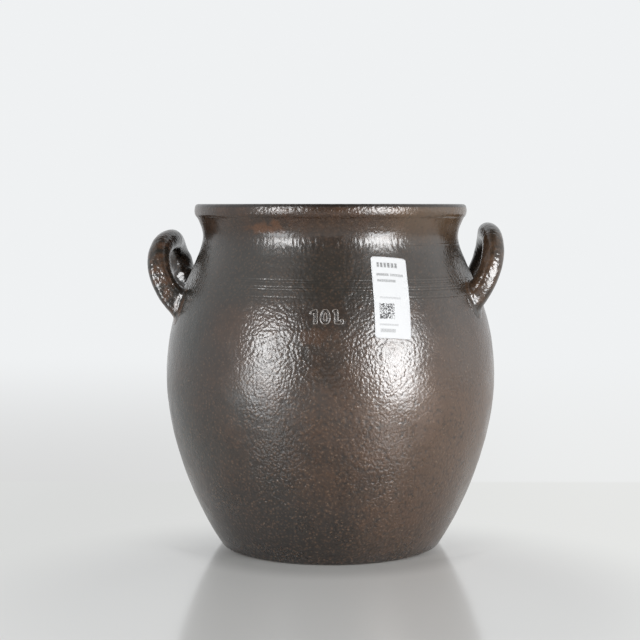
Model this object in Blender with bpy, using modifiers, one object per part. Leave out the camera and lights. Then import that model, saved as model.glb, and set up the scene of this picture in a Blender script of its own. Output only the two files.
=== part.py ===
"""A ten-litre stoneware crock: a thrown body, two ears of rolled clay and a paper label.

Metres, +Z up. The origin is the middle of the flat foot. The front of the crock faces -Y, and
the ears stand near the X axis, each a few degrees towards the back, because they were set by eye.
"""

import math

import bmesh
import bpy
from mathutils import Matrix, Vector

# Thrown body, outside. Heights are above the table and radii from the axis.
CROCK_HEIGHT = 0.2795
BELLY_RADIUS = 0.1348
BELLY_HEIGHT = 0.139
FOOT_RADIUS = 0.0893
FOOT_ROUNDING = 0.006
NECK_RADIUS = 0.1046
NECK_BELOW_TOP = 0.0255

# Rolled rim: its band stands out from the neck, and a crease runs under the band
RIM_STAND_OUT = 0.0066
RIM_TOP_STAND_OUT = 0.0056
RIM_CREASE_STAND_OUT = 0.0046
RIM_BAND_HEIGHT = 0.011
RIM_THICKNESS = 0.0117
RIM_EDGE_ROUNDING = 0.0032
MOUTH_EDGE_ROUNDING = 0.003

# Thrown body, inside
WALL = 0.009
FLOOR = 0.011
FLOOR_CORNER = 0.022

# How the wall curves between those sizes, as shares of the rise and the reach of each stretch
FOOT_FLARE_SHARES = (0.433, 0.196)
BELLY_DOWN_SHARE = 0.374
BELLY_UP_SHARE = 0.565
NECK_DOWN_SHARE = 0.175
NECK_UP_SHARE = 0.30
CREASE_FLARE_SHARES = (0.50, 0.68)
BAND_LOW_SHARE = 0.20
BAND_HIGH_SHARE = 0.64
BAND_BULGE_SHARE = 1.40

# Lines cut into the turning clay: how far below the top each one runs
SHOULDER_LINES = (0.0305, 0.0580, 0.0635, 0.0700)
LINE_DEPTH = 0.0005
LINE_HALF_WIDTH = 0.0007

# Ears: what both coils share
EAR_FOOT_HALF_SPAN = 0.041
EAR_LIMB_HALF_SPAN = 0.050
EAR_CROWN_HALF_SPAN = 0.038
EAR_LOW_SHARE = 0.44
EAR_LIMB_SHARE = 0.4

# Left ear, the lower and wider one
LEFT_EAR_AZIMUTH_DEG = 176.5
LEFT_FOOT_BELOW_TOP = 0.0855
LEFT_FOOT_DEPTH = 0.0085
LEFT_RISE = 0.0557
LEFT_LIMB_REACH = 0.0150
LEFT_UPPER_REACH = 0.0098
LEFT_CROWN_REACH = 0.0066
LEFT_FOOT_COIL_RADIUS = 0.0108
LEFT_LIMB_COIL_RADIUS = 0.0097
LEFT_CROWN_COIL_RADIUS = 0.0092

# Right ear, the taller and steeper one
RIGHT_EAR_AZIMUTH_DEG = 2.8
RIGHT_FOOT_BELOW_TOP = 0.0815
RIGHT_FOOT_DEPTH = 0.0100
RIGHT_RISE = 0.0584
RIGHT_LIMB_REACH = 0.0087
RIGHT_UPPER_REACH = 0.0062
RIGHT_CROWN_REACH = 0.0034
RIGHT_FOOT_COIL_RADIUS = 0.0102
RIGHT_LIMB_COIL_RADIUS = 0.0092
RIGHT_CROWN_COIL_RADIUS = 0.0086

# Paper label on the front right of the shoulder
LABEL_WIDTH = 0.029
LABEL_LENGTH = 0.064
LABEL_CORNER = 0.0025
LABEL_THICKNESS = 0.0004
LABEL_BELOW_TOP = 0.0695
LABEL_AZIMUTH_DEG = -64.2
LABEL_TILT_DEG = 5.0

# Clearance between pieces that touch, what a cutter runs past its piece, and the welding distance
SEAT_GAP = 0.0003
OVERRUN = 0.010
WELD = 0.00001

# Fineness of the faceted solids
TURN_STEPS = 64
THROAT_STEPS = 3
SHOULDER_STEPS = 11
LOWER_STEPS = 8
BAND_STEPS = 4
CORNER_STEPS = 3
COIL_STEPS = 16
COIL_RESOLUTION = 5
SHARP_EDGE_DEG = 40
MOST_CORNER_SHARE = 0.9


def clear_scene():
    for old in list(bpy.data.objects):
        bpy.data.objects.remove(old, do_unlink=True)


def new_collection(name):
    collection = bpy.data.collections.new(name)
    bpy.context.scene.collection.children.link(collection)
    return collection


def material(name, colour, roughness, metallic=0.0):
    made = bpy.data.materials.new(name)
    made.use_nodes = True
    shader = made.node_tree.nodes["Principled BSDF"]
    shader.inputs["Base Color"].default_value = (*colour, 1.0)
    shader.inputs["Roughness"].default_value = roughness
    shader.inputs["Metallic"].default_value = metallic
    made.diffuse_color = (*colour, 1.0)
    return made


def bezier(start, out, back, end, steps):
    """Points along a cubic curve, both ends among them."""
    start, out, back, end = (Vector(p) for p in (start, out, back, end))
    points = []
    for i in range(steps + 1):
        t = i / steps
        u = 1 - t
        points.append(u**3 * start + 3 * u * u * t * out + 3 * u * t * t * back + t**3 * end)
    return points


def rounded(points, index, radius):
    """The outline with the corner at index made an arc, no larger than its sides have room for."""
    corner = points[index]
    before = points[index - 1] - corner
    after = points[index + 1] - corner
    half_angle = before.angle(after) / 2
    room = MOST_CORNER_SHARE * min(before.length, after.length)
    setback = min(radius / math.tan(half_angle), room)
    middle = (before.normalized() + after.normalized()).normalized()
    start = corner + before.normalized() * setback
    centre = corner + middle * (setback / math.cos(half_angle))
    sweep = math.pi - 2 * half_angle
    turn = math.copysign(sweep, (start - centre).cross(corner - centre))
    arc = []
    for i in range(CORNER_STEPS + 1):
        arc.append(centre + Matrix.Rotation(turn * i / CORNER_STEPS, 2) @ (start - centre))
    return points[:index] + arc + points[index + 1 :]


def offset(points, distance):
    """The outline moved outwards by this distance. It runs down the outside, top to bottom."""
    moved = []
    for i, point in enumerate(points):
        before = points[max(i - 1, 0)]
        after = points[min(i + 1, len(points) - 1)]
        along = (after - before).normalized()
        moved.append(point + Vector((-along.y, along.x)) * distance)
    return moved


def wall_outline():
    """The outer wall from the crease under the rim down to the table, as (radius, height)."""
    neck_height = CROCK_HEIGHT - NECK_BELOW_TOP
    flare_rise = NECK_BELOW_TOP - RIM_BAND_HEIGHT
    upper_rise = neck_height - BELLY_HEIGHT
    flare_out_share, flare_up_share = CREASE_FLARE_SHARES
    foot_out_share, foot_up_share = FOOT_FLARE_SHARES
    flare_radius = NECK_RADIUS + RIM_CREASE_STAND_OUT * flare_out_share
    foot_radius = FOOT_RADIUS + (BELLY_RADIUS - FOOT_RADIUS) * foot_out_share
    throat = bezier(
        (NECK_RADIUS + RIM_CREASE_STAND_OUT, neck_height + flare_rise),
        (flare_radius, neck_height + flare_rise * flare_up_share),
        (NECK_RADIUS, neck_height + flare_rise * NECK_UP_SHARE),
        (NECK_RADIUS, neck_height),
        THROAT_STEPS,
    )
    shoulder = bezier(
        (NECK_RADIUS, neck_height),
        (NECK_RADIUS, neck_height - upper_rise * NECK_DOWN_SHARE),
        (BELLY_RADIUS, BELLY_HEIGHT + upper_rise * BELLY_UP_SHARE),
        (BELLY_RADIUS, BELLY_HEIGHT),
        SHOULDER_STEPS,
    )
    lower = bezier(
        (BELLY_RADIUS, BELLY_HEIGHT),
        (BELLY_RADIUS, BELLY_HEIGHT * (1 - BELLY_DOWN_SHARE)),
        (foot_radius, BELLY_HEIGHT * foot_up_share),
        (FOOT_RADIUS, 0),
        LOWER_STEPS,
    )
    return throat + shoulder[1:] + lower[1:]


def wall_radius(height):
    """The outer wall's radius at a height, read between the outline's points."""
    outline = wall_outline()
    for above, below in zip(outline, outline[1:]):
        if below.y <= height <= above.y:
            share = (height - below.y) / (above.y - below.y)
            return below.x + (above.x - below.x) * share
    return outline[0].x if height > outline[0].y else outline[-1].x


def wall_slope(height):
    """The angle by which the wall's outward normal points up from level."""
    wider = wall_radius(height - WALL / 2)
    narrower = wall_radius(height + WALL / 2)
    return math.atan2(wider - narrower, WALL)


def scored(outline):
    """The wall's outline with a shallow V cut in it for each turned line."""
    kept = list(outline)
    cuts = []
    for below_top in SHOULDER_LINES:
        height = CROCK_HEIGHT - below_top
        kept = [p for p in kept if abs(p.y - height) > 2 * LINE_HALF_WIDTH]
        for side, depth in ((1, 0), (0, LINE_DEPTH), (-1, 0)):
            cut_height = height + side * LINE_HALF_WIDTH
            cuts.append(Vector((wall_radius(cut_height) - depth, cut_height)))
    return sorted(kept + cuts, key=lambda point: -point.y)


def rim_outline():
    """The rolled rim, from the inside of the neck over the flat top to the crease underneath."""
    top_radius = NECK_RADIUS + RIM_TOP_STAND_OUT
    crease_radius = NECK_RADIUS + RIM_CREASE_STAND_OUT
    crease_height = CROCK_HEIGHT - RIM_BAND_HEIGHT
    bulge = crease_radius + (RIM_STAND_OUT - RIM_CREASE_STAND_OUT) * BAND_BULGE_SHARE
    band = bezier(
        (top_radius, CROCK_HEIGHT),
        (bulge, crease_height + RIM_BAND_HEIGHT * BAND_HIGH_SHARE),
        (bulge, crease_height + RIM_BAND_HEIGHT * BAND_LOW_SHARE),
        (crease_radius, crease_height),
        BAND_STEPS,
    )
    inner_neck = Vector((NECK_RADIUS - WALL, CROCK_HEIGHT - NECK_BELOW_TOP))
    mouth_edge = Vector((top_radius - RIM_THICKNESS, CROCK_HEIGHT))
    outline = [inner_neck, mouth_edge] + band
    outline = rounded(outline, 2, RIM_EDGE_ROUNDING)
    return rounded(outline, 1, MOUTH_EDGE_ROUNDING)


def cavity_outline():
    """The inside, from the middle of the floor up to the neck, a wall's thickness in."""
    below_neck = [p for p in wall_outline() if p.y < CROCK_HEIGHT - NECK_BELOW_TOP]
    wall = [p for p in offset(below_neck, -WALL)[::-1] if p.y > FLOOR + FLOOR_CORNER]
    lowest = wall[0]
    down = (lowest - wall[1]).normalized()
    to_floor = (FLOOR - lowest.y) / down.y
    corner = lowest + down * to_floor
    flat_end = Vector((corner.x - to_floor, FLOOR))
    curve = []
    for i in range(CORNER_STEPS + 1):
        t = i / (CORNER_STEPS + 1)
        u = 1 - t
        curve.append(flat_end * u * u + corner * 2 * t * u + lowest * t * t)
    return [Vector((0, FLOOR))] + curve + wall


def body_outline():
    """The whole section: up the inside, over the rim, down the outside and across the foot."""
    outside = scored(wall_outline()) + [Vector((0, 0))]
    outside = rounded(outside, len(outside) - 2, FOOT_ROUNDING)
    return cavity_outline() + rim_outline() + outside[1:]


def turned(name, outline, collection, closed=False):
    """A solid of revolution about Z from an outline of (radius, height)."""
    mesh = bpy.data.meshes.new(name)
    edges = [(i, i + 1) for i in range(len(outline) - 1)]
    if closed:
        edges.append((len(outline) - 1, 0))
    mesh.from_pydata([(p.x, 0, p.y) for p in outline], edges, [])
    made = bpy.data.objects.new(name, mesh)
    collection.objects.link(made)
    screw = made.modifiers.new("turn", "SCREW")
    screw.axis = "Z"
    screw.steps = TURN_STEPS
    screw.render_steps = TURN_STEPS
    screw.use_merge_vertices = True
    screw.merge_threshold = WELD
    return made


def made_mesh(curve_object, collection):
    """The curve as a closed mesh object in its place, with its caps welded."""
    name = curve_object.name
    bpy.context.view_layer.update()
    graph = bpy.context.evaluated_depsgraph_get()
    mesh = bpy.data.meshes.new_from_object(curve_object.evaluated_get(graph))
    edit = bmesh.new()
    edit.from_mesh(mesh)
    bmesh.ops.remove_doubles(edit, verts=edit.verts, dist=WELD)
    bmesh.ops.recalc_face_normals(edit, faces=edit.faces)
    edit.to_mesh(mesh)
    edit.free()
    place = curve_object.matrix_world.copy()
    bpy.data.objects.remove(curve_object, do_unlink=True)
    made = bpy.data.objects.new(name, mesh)
    made.matrix_world = place
    collection.objects.link(made)
    return made


def cut(piece, cutter, operation):
    step = piece.modifiers.new(operation.lower(), "BOOLEAN")
    step.operation = operation
    step.solver = "EXACT"
    step.object = cutter


def finished(piece, finish):
    """Gives the piece its material and smooth shading, with its sharp edges kept."""
    piece.data.materials.clear()
    piece.data.materials.append(finish)
    piece.data.shade_smooth()
    piece.data.set_sharp_from_angle(angle=math.radians(SHARP_EDGE_DEG))


def ear_half(sizes, side):
    """The coil's centreline from one foot, sunk in the wall, up to the middle of the crown."""
    foot_height = CROCK_HEIGHT - sizes["foot_below_top"]
    crown_height = foot_height + sizes["rise"]
    low_height = foot_height + sizes["rise"] * EAR_LOW_SHARE
    shoulder = wall_radius(foot_height)
    sunk = shoulder - sizes["foot_depth"]
    foot_out = math.sqrt(sunk**2 - EAR_FOOT_HALF_SPAN**2)
    return bezier(
        (foot_out, side * EAR_FOOT_HALF_SPAN, foot_height),
        (shoulder + sizes["limb_reach"], side * EAR_LIMB_HALF_SPAN, low_height),
        (shoulder + sizes["upper_reach"], side * EAR_CROWN_HALF_SPAN, crown_height),
        (shoulder + sizes["crown_reach"], 0, crown_height),
        COIL_STEPS,
    )


def coil_radius(sizes, share):
    """The coil's radius at a share of the way from a foot to the crown."""
    if share < EAR_LIMB_SHARE:
        low, high = sizes["foot_coil_radius"], sizes["limb_coil_radius"]
        way = share / EAR_LIMB_SHARE
    else:
        low, high = sizes["limb_coil_radius"], sizes["crown_coil_radius"]
        way = (share - EAR_LIMB_SHARE) / (1 - EAR_LIMB_SHARE)
    return low + (high - low) * way * way * (3 - 2 * way)


def ear(name, sizes, shoulder_cutter, collection, finish):
    """One ear: a rolled coil bent into a loop, pressed on the shoulder and turned to its place."""
    near = ear_half(sizes, -1)
    far = ear_half(sizes, 1)
    path = near + far[-2::-1]
    curve = bpy.data.curves.new(name, "CURVE")
    curve.dimensions = "3D"
    curve.bevel_depth = sizes["limb_coil_radius"]
    curve.bevel_resolution = COIL_RESOLUTION
    curve.use_fill_caps = True
    spline = curve.splines.new("POLY")
    spline.points.add(len(path) - 1)
    for i, place in enumerate(path):
        share = 1 - abs(i - COIL_STEPS) / COIL_STEPS
        spline.points[i].co = (*place, 1)
        spline.points[i].radius = coil_radius(sizes, share) / curve.bevel_depth
    coil = bpy.data.objects.new(name, curve)
    coil.rotation_euler.z = math.radians(sizes["azimuth_deg"])
    collection.objects.link(coil)
    made = made_mesh(coil, collection)
    cut(made, shoulder_cutter, "DIFFERENCE")
    finished(made, finish)
    return made


def label_outline():
    """A rectangle with round corners, lengthwise along Y, as points (x, y)."""
    half_width = LABEL_WIDTH / 2 - LABEL_CORNER
    half_length = LABEL_LENGTH / 2 - LABEL_CORNER
    corners = ((1, 1), (-1, 1), (-1, -1), (1, -1))
    outline = []
    for quarter, (right, up) in enumerate(corners):
        for i in range(CORNER_STEPS + 1):
            angle = math.pi / 2 * (quarter + i / CORNER_STEPS)
            x = right * half_width + LABEL_CORNER * math.cos(angle)
            y = up * half_length + LABEL_CORNER * math.sin(angle)
            outline.append((x, y))
    return outline


def label_blank(collection):
    """The label's outline as a prism that stands square on the shoulder, where the label lies."""
    curve = bpy.data.curves.new("label_blank", "CURVE")
    curve.dimensions = "2D"
    curve.fill_mode = "BOTH"
    curve.extrude = OVERRUN
    spline = curve.splines.new("POLY")
    spline.use_cyclic_u = True
    outline = label_outline()
    spline.points.add(len(outline) - 1)
    for point, (x, y) in zip(spline.points, outline):
        point.co = (x, y, 0, 1)
    blank = bpy.data.objects.new("label_blank", curve)
    height = CROCK_HEIGHT - LABEL_BELOW_TOP
    place = Matrix.Rotation(math.radians(LABEL_AZIMUTH_DEG), 4, "Z")
    place @= Matrix.Translation((wall_radius(height), 0, height))
    place @= Matrix.Rotation(math.pi / 2 - wall_slope(height), 4, "Y")
    place @= Matrix.Rotation(math.pi / 2 - math.radians(LABEL_TILT_DEG), 4, "Z")
    blank.matrix_world = place
    collection.objects.link(blank)
    return made_mesh(blank, collection)


def label(blank, collection, finish):
    """The paper: a thin turned skin just off the shoulder, kept only inside the blank."""
    middle = CROCK_HEIGHT - LABEL_BELOW_TOP
    margin = LABEL_LENGTH / 2 + OVERRUN
    stretch = [p for p in wall_outline() if abs(p.y - middle) < margin]
    face = offset(stretch, SEAT_GAP + LABEL_THICKNESS)
    back = offset(stretch, SEAT_GAP)
    skin = turned("label", face + back[::-1], collection, closed=True)
    cut(skin, blank, "INTERSECT")
    finished(skin, finish)
    return skin


def main():
    clear_scene()
    parts = new_collection("crock")
    cutters = new_collection("cutters")

    brown_glaze = material("brown_salt_glaze", (0.085, 0.055, 0.040), 0.32)
    ear_glaze = material("ear_salt_glaze", (0.075, 0.045, 0.030), 0.28)
    paper = material("label_paper", (0.80, 0.80, 0.80), 0.60)

    body = turned("body", body_outline(), parts)
    finished(body, brown_glaze)

    shoulder = offset(wall_outline(), SEAT_GAP)
    lid = Vector((0, shoulder[0].y))
    base = Vector((0, shoulder[-1].y))
    shoulder_cutter = turned("shoulder_cutter", [lid] + shoulder + [base], cutters)

    left_ear = {
        "azimuth_deg": LEFT_EAR_AZIMUTH_DEG,
        "foot_below_top": LEFT_FOOT_BELOW_TOP,
        "foot_depth": LEFT_FOOT_DEPTH,
        "rise": LEFT_RISE,
        "limb_reach": LEFT_LIMB_REACH,
        "upper_reach": LEFT_UPPER_REACH,
        "crown_reach": LEFT_CROWN_REACH,
        "foot_coil_radius": LEFT_FOOT_COIL_RADIUS,
        "limb_coil_radius": LEFT_LIMB_COIL_RADIUS,
        "crown_coil_radius": LEFT_CROWN_COIL_RADIUS,
    }
    right_ear = {
        "azimuth_deg": RIGHT_EAR_AZIMUTH_DEG,
        "foot_below_top": RIGHT_FOOT_BELOW_TOP,
        "foot_depth": RIGHT_FOOT_DEPTH,
        "rise": RIGHT_RISE,
        "limb_reach": RIGHT_LIMB_REACH,
        "upper_reach": RIGHT_UPPER_REACH,
        "crown_reach": RIGHT_CROWN_REACH,
        "foot_coil_radius": RIGHT_FOOT_COIL_RADIUS,
        "limb_coil_radius": RIGHT_LIMB_COIL_RADIUS,
        "crown_coil_radius": RIGHT_CROWN_COIL_RADIUS,
    }
    ear("ear_left", left_ear, shoulder_cutter, parts, ear_glaze)
    ear("ear_right", right_ear, shoulder_cutter, parts, ear_glaze)

    blank = label_blank(cutters)
    label(blank, parts, paper)

    for cutter in cutters.objects:
        cutter.hide_render = True
        cutter.display_type = "WIRE"


main()
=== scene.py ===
"""The looks of a ten-litre salt-glazed stoneware crock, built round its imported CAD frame.

Metres, +Z up, in the frame of the CAD model: the origin is the middle of the foot, and the front
faces -Y. Each sub-assembly is a class that holds its own sizes, builds its mesh and dresses it.
"""

import logging
import math
from dataclasses import dataclass
from enum import Enum
from functools import cache

import bpy
import numpy as np
from mathutils import Matrix, Vector


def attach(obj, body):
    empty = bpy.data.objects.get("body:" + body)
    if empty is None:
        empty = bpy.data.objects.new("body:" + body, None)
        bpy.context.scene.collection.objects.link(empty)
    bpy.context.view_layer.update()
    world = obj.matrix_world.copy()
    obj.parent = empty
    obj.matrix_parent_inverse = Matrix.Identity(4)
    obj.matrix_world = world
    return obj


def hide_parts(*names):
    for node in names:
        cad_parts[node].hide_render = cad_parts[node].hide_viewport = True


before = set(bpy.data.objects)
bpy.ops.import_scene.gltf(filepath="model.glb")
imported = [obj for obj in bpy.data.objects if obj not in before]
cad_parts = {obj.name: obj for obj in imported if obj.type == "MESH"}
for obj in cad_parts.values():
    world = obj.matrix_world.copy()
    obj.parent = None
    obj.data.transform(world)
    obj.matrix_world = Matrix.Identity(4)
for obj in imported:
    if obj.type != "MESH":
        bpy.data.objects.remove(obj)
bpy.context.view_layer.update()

BODY = "root"
MM = 0.001
METRE_MM = 1000.0

Tone = tuple[float, float, float]
Spot = tuple[float, float, float]
Span = tuple[float, float]

log = logging.getLogger("crock")


class Glow(Enum):
    """What a lamp does.

    LIGHT only lights, MIRRORED only shows in the crock's gloss, GLARE is a bluish one like it, and
    BOTH lights and shows in all gloss.
    """

    LIGHT = "light"
    MIRRORED = "mirrored"
    GLARE = "glare"
    BOTH = "both"


class Side(Enum):
    """Which side of the crock an ear stands on."""

    LEFT = "left"
    RIGHT = "right"


class Solver:
    """Small sums on arrays of points that the pieces share."""

    @staticmethod
    def bezier(start: tuple, out: tuple, back: tuple, end: tuple, steps: int) -> np.ndarray:
        """Points along a cubic curve, both ends among them.

        Args:
            start: the first point.
            out: the handle of the first point.
            back: the handle of the last point.
            end: the last point.
            steps: how many stretches the curve is cut into.

        Returns:
            An array with a row for each point.
        """
        t = np.linspace(0, 1, steps + 1)[:, None]
        u = 1 - t
        start, out, back, end = (np.array(p, float) for p in (start, out, back, end))
        return u**3 * start + 3 * u * u * t * out + 3 * u * t * t * back + t**3 * end

    @staticmethod
    def smooth(value: np.ndarray, low: float, high: float) -> np.ndarray:
        """A soft step.

        Args:
            value: where to read the step.
            low: the value up to which it is 0.
            high: the value from which it is 1.

        Returns:
            The step, from 0 to 1. It falls instead where low is above high.
        """
        t = np.clip((value - low) / (high - low), 0, 1)
        return t * t * (3 - 2 * t)

    @staticmethod
    def blend(a: np.ndarray, b: np.ndarray, width: float) -> np.ndarray:
        """The union of two distance fields with a fillet where they meet.

        Args:
            a: distance to the first form.
            b: distance to the second form.
            width: how far from both forms the fillet starts.

        Returns:
            The distance to the joined form.
        """
        near = np.clip(width - np.abs(a - b), 0, None) / width
        return np.minimum(a, b) - near * near * width / 4


class ClayNoise:
    """Smooth noise of a fixed seed, from -1 to 1 and mostly near 0."""

    CELLS = 64

    def __init__(self, seed: int) -> None:
        """Fills the lattice.

        Args:
            seed: the number that fixes the pattern.
        """
        draw = np.random.RandomState(seed)
        self.lattice = draw.uniform(-1.0, 1.0, (self.CELLS,) * 3)

    def at(self, points: np.ndarray, size: float) -> np.ndarray:
        """Reads the noise.

        Args:
            points: an array with a row for each place.
            size: the size of one lump.

        Returns:
            The noise at each place.
        """
        scaled = points / size
        cell = np.floor(scaled).astype(int)
        part = scaled - cell
        ease = part * part * part * (part * (part * 6 - 15) + 10)
        total = np.zeros(len(points))
        for corner in range(8):
            step = np.array([(corner >> axis) & 1 for axis in range(3)])
            weight = np.where(step, ease, 1 - ease).prod(axis=1)
            index = (cell + step) % self.CELLS
            total += weight * self.lattice[index[:, 0], index[:, 1], index[:, 2]]
        return total


class SurfaceNet:
    """Turns a distance field on a grid into a closed mesh of quads."""

    def __init__(self, low: np.ndarray, high: np.ndarray, pitch: float) -> None:
        """Lays out the grid.

        Args:
            low: its lowest corner.
            high: its highest corner.
            pitch: the distance between its points.
        """
        self.low = np.array(low, float)
        self.pitch = pitch
        self.shape = tuple(int(n) for n in np.ceil((np.array(high) - self.low) / pitch) + 1)

    def points(self) -> np.ndarray:
        """The grid's points, one row each."""
        index = np.stack(np.meshgrid(*(np.arange(n) for n in self.shape), indexing="ij"), -1)
        return self.low + index.reshape(-1, 3) * self.pitch

    def mesh(self, field: np.ndarray) -> tuple[np.ndarray, np.ndarray]:
        """Draws the surface where the field is zero.

        Args:
            field: the distance at each of the grid's points, below zero inside.

        Returns:
            The vertices and the quads.
        """
        field = field.reshape(self.shape)
        cells = tuple(n - 1 for n in self.shape)
        total = np.zeros(cells + (3,))
        count = np.zeros(cells, int)
        corners = [tuple((c >> axis) & 1 for axis in range(3)) for c in range(8)]
        for first in corners:
            for axis in range(3):
                if first[axis]:
                    continue
                second = tuple(v + (i == axis) for i, v in enumerate(first))
                a, b = (
                    field[tuple(slice(v, v + n) for v, n in zip(corner, cells))]
                    for corner in (first, second)
                )
                crossed = (a < 0) != (b < 0)
                share = a[crossed] / (a[crossed] - b[crossed])
                place = np.tile(np.array(first, float), (len(share), 1))
                place[:, axis] += share
                total[crossed] += place
                count[crossed] += 1
        used = count > 0
        number = np.full(cells, -1)
        number[used] = np.arange(used.sum())
        at = np.argwhere(used) + total[used] / count[used][:, None]
        quads = []
        inside = field < 0
        for axis in range(3):
            one, two = (axis + 1) % 3, (axis + 2) % 3
            here = [slice(1, -1)] * 3
            here[axis] = slice(0, -1)
            there = list(here)
            there[axis] = slice(1, None)
            change = inside[tuple(here)].astype(int) - inside[tuple(there)].astype(int)
            edge = np.argwhere(change != 0) + [int(i != axis) for i in range(3)]
            leaving = change[change != 0] > 0
            ring = []
            for back_one, back_two in ((1, 1), (0, 1), (0, 0), (1, 0)):
                cell = edge.copy()
                cell[:, one] -= back_one
                cell[:, two] -= back_two
                ring.append(number[cell[:, 0], cell[:, 1], cell[:, 2]])
            ring = np.stack(ring, 1)
            ring[~leaving] = ring[~leaving][:, ::-1]
            quads.append(ring)
        return self.low + at * self.pitch, np.concatenate(quads)


def as_object(name: str, points: np.ndarray, faces: list[np.ndarray]) -> bpy.types.Object:
    """Makes a smooth mesh object and puts it in the scene.

    Args:
        name: the piece's name.
        points: its vertices.
        faces: its faces, in blocks with as many vertex numbers in each row.

    Returns:
        The new object.
    """
    mesh = bpy.data.meshes.new(name)
    mesh.vertices.add(len(points))
    mesh.vertices.foreach_set("co", np.ascontiguousarray(points, np.float32).ravel())
    sizes = np.concatenate([np.full(len(block), block.shape[1]) for block in faces])
    mesh.loops.add(int(sizes.sum()))
    mesh.loops.foreach_set("vertex_index", np.concatenate([block.ravel() for block in faces]))
    mesh.polygons.add(len(sizes))
    mesh.polygons.foreach_set("loop_start", np.concatenate([[0], np.cumsum(sizes)[:-1]]))
    mesh.update(calc_edges=True)
    mesh.validate()
    mesh.shade_smooth()
    piece = bpy.data.objects.new(name, mesh)
    bpy.context.scene.collection.objects.link(piece)
    return piece


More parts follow.
